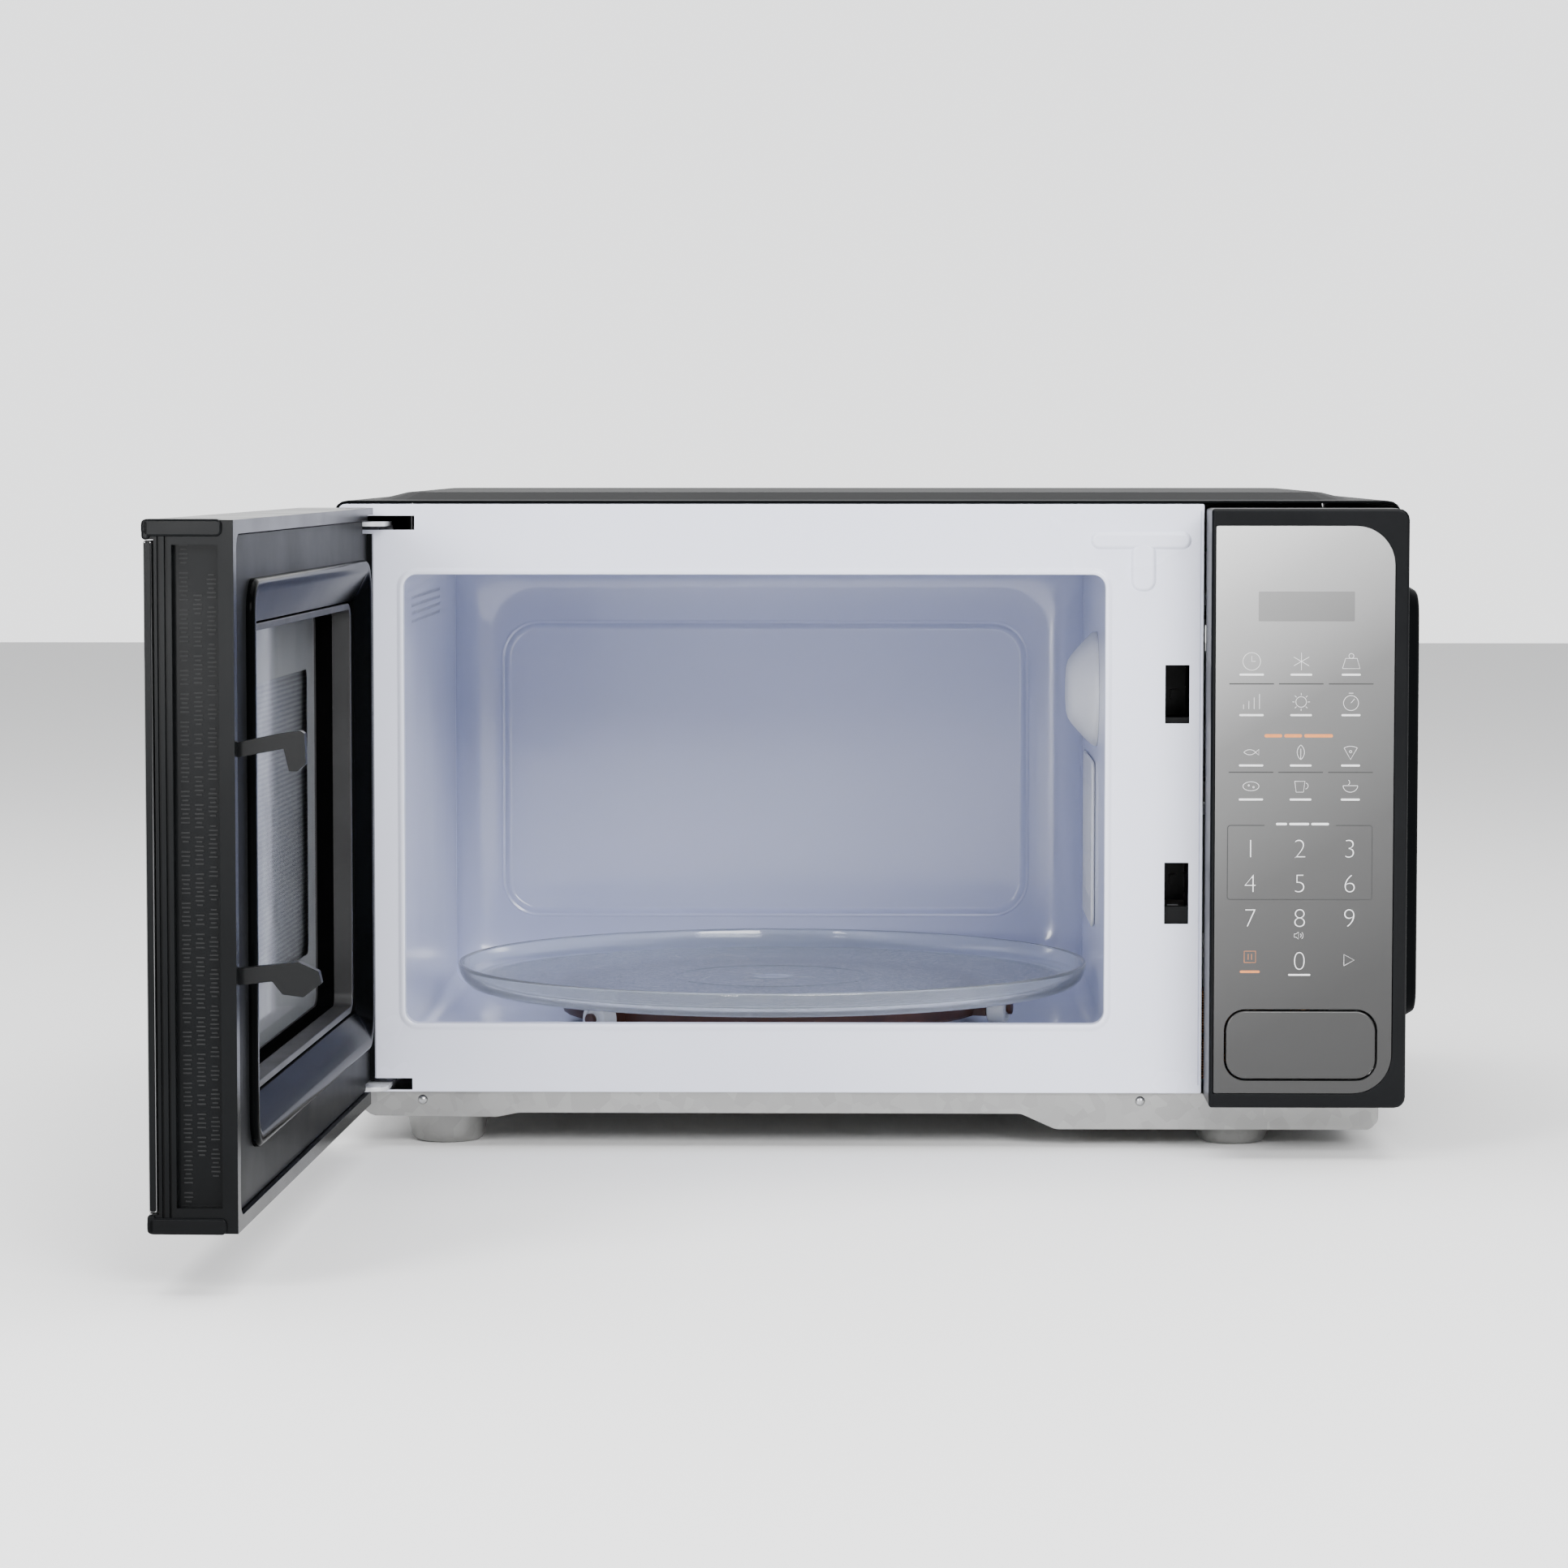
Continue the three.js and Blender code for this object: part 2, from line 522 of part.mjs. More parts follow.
// ---- hinges ----
// A flat arm comes out of the frame's slot and carries an upright pin that the door turns on.
function hingePlate(low, thick, pinTo) {
  const arm = extrude(roundRect([-240, -221], [-16, 26], [3.6, 8, 1, 1]), 'plan', [low, low + thick]);
  const anchor = block([-240, -221], [24, 26],
    pinTo < low ? [low - 9, low + thick] : [low, low + thick + 9]);
  const pin = rod('z', [PIN.x, PIN.y], PIN.r, [Math.min(pinTo, low + 1), Math.max(pinTo, low + 1)], 20);
  return join(arm, anchor, pin);
}

// ---- door, drawn shut ----
function doorPlan() {
  const { left, right, front, back } = DOOR;
  const turn = PIN.y - back;
  const shape = new THREE.Shape();
  shape.moveTo(left + 4, front);
  shape.lineTo(right - 1.5, front);
  shape.lineTo(right, front + 1.5);
  shape.lineTo(right, back);
  shape.lineTo(PIN.x, back);
  shape.absarc(PIN.x, PIN.y, -turn, Math.PI / 2, Math.PI, false);
  shape.lineTo(left, front + 4);
  shape.absarc(left + 4, front + 4, 4, Math.PI, Math.PI * 1.5, false);
  return shape;
}

const WINDOW_HOLE = { x: [-200, 90], z: [72, 252] };
const CHOKE = { x: [-230, 128], z: [46, 278] };
const COVER = { x: [-232, 148], z: [30, 292] };
const hookSlots = () => [[198.4, 226], [110.6, 137]]
  .map((z) => block([LATCH_X - 5, LATCH_X + 5], [-12, 2], z));
const armRooms = () => [[285.6, 294.4], [23, 33.6]].map((z) => rod('z', [PIN.x, PIN.y], 20.4, z, 20));

function doorFrame() {
  const { front, back } = DOOR;
  const body = extrude(doorPlan(), 'plan', [DOOR.bottom, DOOR.top]);
  const opening = extrude(roundRect(WINDOW_HOLE.x, WINDOW_HOLE.z, 8), 'front', [front - 1, 1]);
  const glassSeat = extrude(roundRect([GLASS.left - GAP, 160],
    [GLASS.bottom - GAP, GLASS.top + GAP], 2), 'front',
    [front - 1, front + GLASS.thick + 2 * GAP]);
  const chokeSeat = extrude(roundRect(CHOKE.x, CHOKE.z, 8), 'front', [WINDOW_DEPTH.seat, 1]);
  const coverSeat = extrude(roundRect(COVER.x, COVER.z, 6), 'front', [-7.6, 1]);
  const edgeChannel = block([DOOR.right - 5, DOOR.right + 2], [-26, -8.3], [34, 288]);
  const edgeGrooves = [-31.6, -28.8].map((y) => block([DOOR.right - 1.4, DOOR.right + 2],
    [y, y + 1], [20, 300]));
  const latchRoom = block([LATCH_X - 5, LATCH_X + 4.6], [-24, 1], [100, 256]);
  const pinHole = [[270, 290], [24, 46]].map((z) => rod('z', [PIN.x, PIN.y], PIN.r + 0.5, z, 20));
  return cut(body, opening, glassSeat, chokeSeat, coverSeat, edgeChannel, ...edgeGrooves, latchRoom,
    ...armRooms(), ...pinHole);
}

function doorGlass() {
  return extrude(roundRect([GLASS.left, GLASS.right], [GLASS.bottom, GLASS.top], [2, 1, 1, 2]), 'front',
    [DOOR.front, DOOR.front + GLASS.thick], { slope: 0.6, rise: 0.6 });
}

// A folded steel ring with a quarter-wave groove all round its back face.
function chokeFrame() {
  const ringOf = (grow) => roundRect([WINDOW_HOLE.x[0] - grow, WINDOW_HOLE.x[1] + grow],
    [WINDOW_HOLE.z[0] - grow, WINDOW_HOLE.z[1] + grow], 6 + grow);
  const body = extrude(roundRect([CHOKE.x[0] + GAP, CHOKE.x[1] - GAP],
    [CHOKE.z[0] + GAP, CHOKE.z[1] - GAP], 7.7),
    'front', [WINDOW_DEPTH.seat + GAP, -8]);
  const groove = cut(extrude(ringOf(20), 'front', [WINDOW_DEPTH.seat + 2, 0]),
    extrude(ringOf(3), 'front', [-40, 1]));
  return cut(body, extrude(ringOf(0), 'front', [-40, 0]), groove);
}

function windowSheet(far, thick) {
  return extrude(roundRect([WINDOW_HOLE.x[0] + GAP, WINDOW_HOLE.x[1] - GAP],
    [WINDOW_HOLE.z[0] + GAP, WINDOW_HOLE.z[1] - GAP], 5.7), 'front', [far - thick, far]);
}

// The inner face of the door: a flat border, a raised bead round the window, and a sleeve down to the film.
function innerCover() {
  const border = extrude(roundRect([COVER.x[0] + GAP, COVER.x[1] - GAP],
    [COVER.z[0] + GAP, COVER.z[1] - GAP], 5.7),
    'front', [-7.3, -4.6]);
  const bead = extrude(roundRect([-225, 112], [50, 274], 14), 'front', [-7.3, -2.4],
    { slope: 2, rise: 1.6 });
  const reveal = (inset) => roundRect([WINDOW_HOLE.x[0] + inset, WINDOW_HOLE.x[1] - inset],
    [WINDOW_HOLE.z[0] + inset, WINDOW_HOLE.z[1] - inset], 8 - inset);
  const sleeve = extrude(reveal(GAP), 'front', [WINDOW_DEPTH.reveal, -5]);
  const mouth = extrude(roundRect([-208, 98], [64, 260], 14), 'front', [-4, 4], { slope: 3, rise: 3 });
  return cut(join(border, bead, sleeve), extrude(reveal(2), 'front', [-40, 1]), mouth, ...hookSlots(),
    ...armRooms());
}

// One moulding slides up and down in the free edge of the door and carries both hooks.
function latchBar() {
  const [near, far] = [LATCH_X - 2.5, LATCH_X + 2.5];
  const bar = block([near - 1, far + 1], [-20, -13], [UPPER_HOOK_Z - 92, UPPER_HOOK_Z + 34]);
  const upper = outline([[-14, 1], [-4, 5], [15, 8.6], [17, 0], [20.4, 0], [23.7, 3], [23, 14.6],
    [21.4, 15.6],
    [12, 14.2], [-14, 8.6]]);
  const lower = outline([[-14, 2.4], [-4, 5.4], [10, 7], [14, 2], [22, 1], [29, 6.4], [28, 11],
    [20, 14.6],
    [-14, 10.6]]);
  return join(bar,
    extrude(upper, 'side', [near, far]).translate([0, 0, UPPER_HOOK_Z]),
    extrude(lower, 'side', [near, far]).translate([0, 0, LOWER_HOOK_Z]));
}

function latchSpring() {
  class Helix extends THREE.Curve {
    getPoint(t, target = new THREE.Vector3()) {
      const angle = t * SPRING.turns * 2 * Math.PI;
      return target.set(SPRING.r * Math.cos(angle), SPRING.r * Math.sin(angle), SPRING.length * t);
    }
  }
  const wire = new THREE.Shape().absarc(0, 0, SPRING.wire, 0, 2 * Math.PI);
  const options = { steps: 8 * SPRING.turns, curveSegments: 2, extrudePath: new Helix() };
  const geometry = new THREE.ExtrudeGeometry(wire, options);
  return toSolid(geometry).translate([LATCH_X, -16.5, UPPER_HOOK_Z + 34 + SPRING.wire + GAP]);
}

// ---- assembly ----
piece('outer_case', outerCase(), CASE_BLACK);
piece('back_panel', backPanel(), ZINC);
SCREWS.forEach((at, i) => piece(`case_screw_${i + 1}`, caseScrew(at), STEEL));
piece('base_pan', basePan(), ZINC);
piece('face_frame', faceFrame(), ENAMEL);
piece('cavity_wrapper', cavityWrapper(), ENAMEL);
piece('cavity_floor', cavityFloor(), ENAMEL);
piece('cavity_back', cavityBack(), ENAMEL);
piece('antenna_cover', antennaCover(), WHITE);
piece('side_vent_cover', sideVentCover(), WHITE);
piece('control_panel_bezel', panelBezel(), SATIN_BLACK);
piece('control_panel_face', panelFace(), SILVER);
piece('display_window', displayWindow(), SMOKE);
piece('display_module', displayModule(), SATIN_BLACK);
piece('control_board', controlBoard(), BOARD);
piece('open_button', openButton(), SILVER);
piece('release_lever', releaseLever(), WHITE);
piece('latch_board', latchBoard(), SATIN_BLACK);
piece('primary_switch', microSwitch(200), SATIN_BLACK);
piece('secondary_switch', microSwitch(165), SATIN_BLACK);
piece('monitor_switch', microSwitch(113), SATIN_BLACK);
piece('magnetron', magnetron(), STEEL);
piece('air_duct', airDuct(), SATIN_BLACK);
piece('transformer_core', transformerCore(), STEEL);
piece('primary_winding', winding(WINDOW.z[0] + GAP, 48), COPPER);
piece('secondary_winding', winding(50, WINDOW.z[1] - GAP), COPPER);
piece('capacitor', capacitor(), STEEL);
piece('diode', diode(), SATIN_BLACK);
piece('fan_shroud', fanShroud(), WHITE);
piece('fan_blade', fanBlade(), WHITE);
piece('fan_motor', fanMotor(), STEEL);
piece('lamp_holder', lampHolder(), WHITE);
piece('lamp_bulb', lampBulb(), CLEAR);
piece('filter_board', filterBoard(), BOARD);
piece('thermal_cutout', thermalCutout(), STEEL);
piece('cord_gland', cordGland(), SATIN_BLACK);
piece('turntable_motor', turntableMotor(), STEEL);
piece('drive_coupler', driveCoupler(), WHITE);
piece('glass_tray', glassTray(), CLEAR);
piece('roller_ring', rollerRing(), BROWN);
WHEEL.angles.forEach((angle, i) => piece(`roller_wheel_${i + 1}`, rollerWheel(angle), WHITE));
piece('upper_hinge_plate', hingePlate(289, 2, 274), STEEL);
piece('lower_hinge_plate', hingePlate(28, 2, 42), STEEL);

// The door's own group has its origin on the hinge pin, so that one rotation opens it.
const atHinge = (solid) => solid.translate([-PIN.x, -PIN.y, 0]);
piece('door_frame', atHinge(doorFrame()), GLOSS_BLACK, door);
piece('door_glass', atHinge(doorGlass()), SILVER, door);
piece('door_choke_frame', atHinge(chokeFrame()), SATIN_BLACK, door);
piece('door_screen', atHinge(windowSheet(WINDOW_DEPTH.screen, 0.8)), STEEL, door);
piece('door_film', atHinge(windowSheet(WINDOW_DEPTH.film, 0.6)), CLEAR, door);
piece('door_inner_cover', atHinge(innerCover()), GLOSS_BLACK, door);
piece('latch_bar', atHinge(latchBar()), SATIN_BLACK, door);
piece('latch_spring', atHinge(latchSpring()), STEEL, door);
door.position.set(PIN.x, PIN.y, 0);
door.rotation.z = THREE.MathUtils.degToRad(-DOOR_OPEN_DEG);

oven.updateMatrixWorld(true);
const extent = new THREE.Box3().setFromObject(oven, true);
const middle = extent.getCenter(new THREE.Vector3());
oven.position.set(-middle.x, -middle.y, -extent.min.z);

export default oven;
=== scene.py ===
# Countertop microwave oven, door open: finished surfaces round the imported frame.
import json
import math

import bmesh
import bpy
from mathutils import Matrix, Vector


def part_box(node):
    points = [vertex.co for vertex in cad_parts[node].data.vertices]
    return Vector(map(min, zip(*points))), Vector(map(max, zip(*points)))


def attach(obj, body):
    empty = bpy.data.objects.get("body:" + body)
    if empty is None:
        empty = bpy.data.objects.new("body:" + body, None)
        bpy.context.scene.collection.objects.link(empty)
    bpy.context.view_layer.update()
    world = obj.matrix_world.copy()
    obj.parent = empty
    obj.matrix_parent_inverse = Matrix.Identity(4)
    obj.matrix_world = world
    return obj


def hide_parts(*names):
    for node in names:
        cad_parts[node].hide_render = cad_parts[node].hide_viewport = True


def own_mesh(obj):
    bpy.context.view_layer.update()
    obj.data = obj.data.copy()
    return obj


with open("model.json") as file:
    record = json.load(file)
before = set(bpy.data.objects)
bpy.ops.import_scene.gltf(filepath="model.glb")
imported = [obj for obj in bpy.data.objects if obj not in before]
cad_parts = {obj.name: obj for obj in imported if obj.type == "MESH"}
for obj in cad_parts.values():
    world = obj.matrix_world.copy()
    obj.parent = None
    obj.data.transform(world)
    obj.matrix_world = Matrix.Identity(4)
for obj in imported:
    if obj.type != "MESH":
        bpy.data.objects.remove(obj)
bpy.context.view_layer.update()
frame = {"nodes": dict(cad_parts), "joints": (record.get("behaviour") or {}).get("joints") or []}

MM = 0.001
CASE_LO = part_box("outer_case")[0]
CASE_HALF = 246 * MM                                   # half the cabinet's width
HOME = Vector((CASE_LO.x + CASE_HALF, CASE_LO.y, 0))   # cabinet centre, on the front plane
CORNER = 8                                             # steps in each rounded corner
SHARP = math.radians(34)                               # edges that turn further than this stay sharp


def at(x, y, z):
    """A point in millimetres from the cabinet's centre line, front plane and the table."""
    return HOME + Vector((x, y, z)) * MM


def mm_box(node):
    """A node's box in the same millimetres: (x0, x1), (y0, y1), (z0, z1)."""
    lo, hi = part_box(node)
    low, high = (lo - HOME) / MM, (hi - HOME) / MM
    return (low.x, high.x), (low.y, high.y), (low.z, high.z)


# ---------------------------------------------------------------- door at rest
HINGE = next(j for j in frame["joints"] if j["name"] == "door_hinge")
PIN = Vector(HINGE["pos_m"])
SHUT_TO_REST = (Matrix.Translation(PIN) @ Matrix.Rotation(math.radians(-HINGE["range_deg"][1]), 4, "Z")
                @ Matrix.Translation(-PIN))
REST_TO_SHUT = SHUT_TO_REST.inverted()


def shut_box(node):
    """A door node's box in millimetres with the door shut."""
    points = [(REST_TO_SHUT @ v.co - HOME) / MM for v in frame["nodes"][node].data.vertices]
    return tuple((min(p[i] for p in points), max(p[i] for p in points)) for i in range(3))


# ---------------------------------------------------------------- materials
def material(name):
    mat = bpy.data.materials.new(name)
    mat.use_nodes = True
    tree = mat.node_tree
    return mat, tree, tree.nodes["Principled BSDF"]


def add(tree, kind, **values):
    """A shader node whose sockets and settings take the values named after them."""
    node = tree.nodes.new(kind)
    for key, value in values.items():
        if key in node.inputs:
            node.inputs[key].default_value = value
        else:
            setattr(node, key, value)
    return node


def noise(tree, scale, detail=3.0):
    """Noise in object space, with one cell about 1/scale metres."""
    coords = add(tree, "ShaderNodeTexCoord")
    field = add(tree, "ShaderNodeTexNoise", Scale=scale, Detail=detail)
    tree.links.new(coords.outputs["Object"], field.inputs["Vector"])
    return field.outputs["Fac"]


def remap(tree, source, low, high, start=0.3, stop=0.7):
    """The source's stretch from start to stop, spread from low to high."""
    node = add(tree, "ShaderNodeMapRange")
    for key, value in zip(("From Min", "From Max", "To Min", "To Max"), (start, stop, low, high)):
        node.inputs[key].default_value = value
    tree.links.new(source, node.inputs["Value"])
    return node.outputs["Result"]


def ramp(tree, source, *stops):
    """stops are (place, (r, g, b))."""
    node = add(tree, "ShaderNodeValToRGB")
    elements = node.color_ramp.elements
    while len(elements) < len(stops):
        elements.new(0.5)
    for element, (place, colour) in zip(elements, stops):
        element.position = place
        element.color = (*colour, 1)
    tree.links.new(source, node.inputs["Fac"])
    return node.outputs["Color"]


def bump(tree, shader, source, strength, distance):
    node = add(tree, "ShaderNodeBump", Strength=strength, Distance=distance)
    tree.links.new(source, node.inputs["Height"])
    tree.links.new(node.outputs["Normal"], shader.inputs["Normal"])


def finish_of(name, dark, light, rough, metallic=0.0, mottle=30, grain=2500, depth=0.00002, strength=0.25,
              coat=0.0, coat_rough=0.1, specular=0.5):
    """A moulded, painted or rolled surface: mottled colour, uneven gloss and a fine grain."""
    mat, tree, shader = material(name)
    shader.inputs["Metallic"].default_value = metallic
    shader.inputs["Coat Weight"].default_value = coat
    shader.inputs["Coat Roughness"].default_value = coat_rough
    shader.inputs["Specular IOR Level"].default_value = specular
    clouds = noise(tree, mottle, 4.0)
    tree.links.new(ramp(tree, clouds, (0.3, dark), (0.7, light)), shader.inputs["Base Color"])
    tree.links.new(remap(tree, clouds, *rough), shader.inputs["Roughness"])
    bump(tree, shader, noise(tree, grain, 2.0), strength, depth)
    return mat


def galvanised():
    """Zinc spangle: flat crystal patches that differ a little in tone and gloss."""
    mat, tree, shader = material("galvanised_sheet")
    shader.inputs["Metallic"].default_value = 0.85
    coords = add(tree, "ShaderNodeTexCoord")
    cells = add(tree, "ShaderNodeTexVoronoi", Scale=160.0)
    tree.links.new(coords.outputs["Object"], cells.inputs["Vector"])
    tone = add(tree, "ShaderNodeSeparateColor")
    tree.links.new(cells.outputs["Color"], tone.inputs["Color"])
    tree.links.new(ramp(tree, tone.outputs["Red"], (0.0, (0.30, 0.30, 0.295)), (1.0, (0.35, 0.35, 0.345))),
                   shader.inputs["Base Color"])
    tree.links.new(remap(tree, tone.outputs["Green"], 0.34, 0.40, 0.0, 1.0), shader.inputs["Roughness"])
    bump(tree, shader, noise(tree, 900, 3.0), 0.1, 0.00002)
    return mat


def axis_value(tree, direction, low, high):
    """0 to 1 along a direction, from the point low to the point high."""
    coords = add(tree, "ShaderNodeTexCoord")
    dot = add(tree, "ShaderNodeVectorMath", operation="DOT_PRODUCT")
    dot.inputs[1].default_value = direction
    tree.links.new(coords.outputs["Object"], dot.inputs[0])
    direction = Vector(direction)
    return remap(tree, dot.outputs["Value"], 0, 1, low.dot(direction), high.dot(direction))


def silver_panel(name, deepen=1.0):
    """The printed face: pale silver at the top left, running to dark grey at the lower right."""
    mat, tree, shader = material(name)
    shader.inputs["Metallic"].default_value = 0.25
    shader.inputs["Coat Weight"].default_value = 0.5
    shader.inputs["Coat Roughness"].default_value = 0.12
    lo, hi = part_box("control_panel_face")
    to_lower_right = (0.5, 0, -0.87)
    slide = axis_value(tree, to_lower_right, Vector((lo.x, 0, hi.z)), Vector((hi.x, 0, lo.z)))
    stops = [(0.0, 0.66), (0.14, 0.38), (0.34, 0.145), (0.58, 0.053), (0.8, 0.02), (1.0, 0.012)]
    graded = ramp(tree, slide, *[(place, [grey * deepen] * 3) for place, grey in stops])
    tree.links.new(graded, shader.inputs["Base Color"])
    tree.links.new(remap(tree, noise(tree, 1500, 2.0), 0.28, 0.36), shader.inputs["Roughness"])
    bump(tree, shader, noise(tree, 4000, 1.0), 0.08, 0.00001)
    return mat


def clear_glass(name, tint, rough=0.02, ior=1.5):
    """Clear glass or film, very slightly uneven."""
    mat, tree, shader = material(name)
    shader.inputs["Base Color"].default_value = (*tint, 1)
    shader.inputs["IOR"].default_value = ior
    shader.inputs["Transmission Weight"].default_value = 1.0
    tree.links.new(remap(tree, noise(tree, 60, 2.0), rough, rough * 2), shader.inputs["Roughness"])
    bump(tree, shader, noise(tree, 25, 2.0), 0.05, 0.0002)
    return mat


def radial(tree, centre):
    """The distance in metres from an upright axis."""
    coords = add(tree, "ShaderNodeTexCoord")
    shift = add(tree, "ShaderNodeVectorMath", operation="SUBTRACT")
    shift.inputs[1].default_value = centre
    flat = add(tree, "ShaderNodeVectorMath", operation="MULTIPLY")
    flat.inputs[1].default_value = (1, 1, 0)
    length = add(tree, "ShaderNodeVectorMath", operation="LENGTH")
    tree.links.new(coords.outputs["Object"], shift.inputs[0])
    tree.links.new(shift.outputs["Vector"], flat.inputs[0])
    tree.links.new(flat.outputs["Vector"], length.inputs[0])
    return length.outputs["Value"]


def pressed_glass():
    """The tray: clear and slightly green, with a pebbled band that stops short of centre and rim."""
    mat, tree, shader = material("pressed_tray_glass")
    shader.inputs["Base Color"].default_value = (0.955, 0.985, 0.98, 1)
    shader.inputs["IOR"].default_value = 1.5
    shader.inputs["Transmission Weight"].default_value = 0.93
    lo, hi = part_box("glass_tray")
    distance = radial(tree, ((lo.x + hi.x) / 2, (lo.y + hi.y) / 2, 0))
    band_starts, band_ends = (0.008, 0.012), (0.142, 0.147)
    rise = remap(tree, distance, 0, 1, *band_starts)
    fall = remap(tree, distance, 1, 0, *band_ends)
    band = add(tree, "ShaderNodeMath", operation="MULTIPLY")
    tree.links.new(rise, band.inputs[0])
    tree.links.new(fall, band.inputs[1])
    coords = add(tree, "ShaderNodeTexCoord")
    pebbles = add(tree, "ShaderNodeTexVoronoi", Scale=520.0, feature="SMOOTH_F1")
    tree.links.new(coords.outputs["Object"], pebbles.inputs["Vector"])
    height = add(tree, "ShaderNodeMath", operation="MULTIPLY")
    tree.links.new(pebbles.outputs["Distance"], height.inputs[0])
    tree.links.new(band.outputs["Value"], height.inputs[1])
    bump(tree, shader, height.outputs["Value"], 0.7, 0.0006)
    tree.links.new(remap(tree, band.outputs["Value"], 0.07, 0.22, 0, 1), shader.inputs["Roughness"])
    return mat


def perforated_sheet():
    """Grey sheet punched all over with small round holes, which show as rows of paler dots: painted light,
    the room seen through the holes.
    """
    mat, tree, shader = material("punched_screen")
    pitch = 2.2 * MM
    coords = add(tree, "ShaderNodeTexCoord")
    turn = add(tree, "ShaderNodeVectorRotate", rotation_type="AXIS_ANGLE")
    turn.inputs["Center"].default_value = PIN
    turn.inputs["Axis"].default_value = (0, 0, 1)
    turn.inputs["Angle"].default_value = math.radians(HINGE["range_deg"][1])
    tree.links.new(coords.outputs["Object"], turn.inputs["Vector"])
    split = add(tree, "ShaderNodeSeparateXYZ")
    tree.links.new(turn.outputs["Vector"], split.inputs["Vector"])
    waves = []
    for axis in ("X", "Z"):
        scaled = add(tree, "ShaderNodeMath", operation="MULTIPLY")
        scaled.inputs[1].default_value = 2 * math.pi / pitch
        tree.links.new(split.outputs[axis], scaled.inputs[0])
        wave = add(tree, "ShaderNodeMath", operation="COSINE")
        tree.links.new(scaled.outputs["Value"], wave.inputs[0])
        waves.append(wave.outputs["Value"])
    dots = add(tree, "ShaderNodeMath", operation="ADD")
    tree.links.new(waves[0], dots.inputs[0])
    tree.links.new(waves[1], dots.inputs[1])
    hole = remap(tree, dots.outputs["Value"], 0, 1, 0.3, 0.7)
    # Holes paler than the sheet: painted light from the room seen through them.
    tree.links.new(ramp(tree, hole, (0.0, (0.22, 0.226, 0.237)), (1.0, (0.46, 0.47, 0.49))),
                   shader.inputs["Base Color"])
    shader.inputs["Metallic"].default_value = 0.4
    tree.links.new(remap(tree, noise(tree, 200), 0.35, 0.5), shader.inputs["Roughness"])
    bump(tree, shader, remap(tree, hole, 1, 0, 0, 1), 0.12, 0.0001)
    return mat


def wound_wire(name, dark, light):
    """Enamelled wire lying in close turns, painted darker between the turns and lighter on their crests:
    painted shade and highlight.
    """
    mat, tree, shader = material(name)
    shader.inputs["Metallic"].default_value = 0.9
    coords = add(tree, "ShaderNodeTexCoord")
    turns = add(tree, "ShaderNodeTexWave", Scale=260.0, Distortion=0.6, bands_direction="Z")
    tree.links.new(coords.outputs["Object"], turns.inputs["Vector"])
    # Each turn runs from dark to light: painted shade in the gaps, painted highlight on the crests.
    tone = ramp(tree, turns.outputs["Fac"], (0.1, dark), (0.8, light))
    tree.links.new(tone, shader.inputs["Base Color"])
    tree.links.new(remap(tree, turns.outputs["Fac"], 0.5, 0.3, 0, 1), shader.inputs["Roughness"])
    bump(tree, shader, turns.outputs["Fac"], 0.6, 0.0003)
    return mat


CASE_PAINT = finish_of("case_paint", (0.0024, 0.0028, 0.0032), (0.0029, 0.0033, 0.0037), (0.42, 0.44),
                       mottle=18, grain=1400, depth=0.00004, strength=0.2, specular=0.014)
GLOSS_BLACK = finish_of("gloss_black_plastic", (0.0009, 0.0011, 0.0012), (0.0013, 0.0015, 0.0017),
                        (0.15, 0.19), mottle=22, grain=900, depth=0.00001, strength=0.08, specular=0.012)
DOOR_FRAME_BLACK = finish_of("door_frame_black", (0.0035, 0.0038, 0.0042), (0.005, 0.0055, 0.006),
                             (0.20, 0.26), mottle=22, grain=2400, depth=0.00001, strength=0.12,
                             specular=0.05)
DOOR_SATIN = finish_of("door_satin_plastic", (0.006, 0.0065, 0.0072), (0.008, 0.0085, 0.0093), (0.32, 0.38),
                       mottle=25, grain=3200, depth=0.00002, strength=0.2, specular=0.015)
RECESS_BLACK = finish_of("recess_black_plastic", (0.001, 0.001, 0.0011), (0.0016, 0.0016, 0.0018),
                         (0.42, 0.5), mottle=25, grain=3200, depth=0.00002, strength=0.2, specular=0.0)
# The door end's black plastic, a little less glossy, and painted a lighter grey: painted sheen on the raised
# strokes.
EMBOSSED_SHEEN = finish_of("embossed_marks_painted_sheen", (0.009, 0.0095, 0.010), (0.013, 0.0135, 0.014), (0.30, 0.38),
                     mottle=90, grain=3000, specular=0.12)
FILM_BORDER = finish_of("film_border", (0.20, 0.206, 0.218), (0.22, 0.226, 0.238), (0.3, 0.4), mottle=40,
                        specular=0.3)
SATIN_BLACK = finish_of("satin_black_plastic", (0.003, 0.0033, 0.0037), (0.0045, 0.005, 0.0055),
                        (0.30, 0.38), mottle=25, grain=3200, depth=0.00003, strength=0.3, specular=0.12)
BEZEL_BLACK = finish_of("bezel_black_plastic", (0.0032, 0.0036, 0.0043), (0.0045, 0.005, 0.0058),
                        (0.30, 0.38), mottle=25, grain=3200, depth=0.00002, strength=0.2, specular=0.10)
CHOKE_PAINT = finish_of("choke_paint", (0.010, 0.010, 0.011), (0.016, 0.016, 0.017), (0.4, 0.5))
ENAMEL = finish_of("cavity_enamel", (0.74, 0.775, 0.95), (0.755, 0.79, 0.96), (0.21, 0.24),
                   mottle=9, grain=900, depth=0.00003, strength=0.12, coat=0.4, coat_rough=0.09)
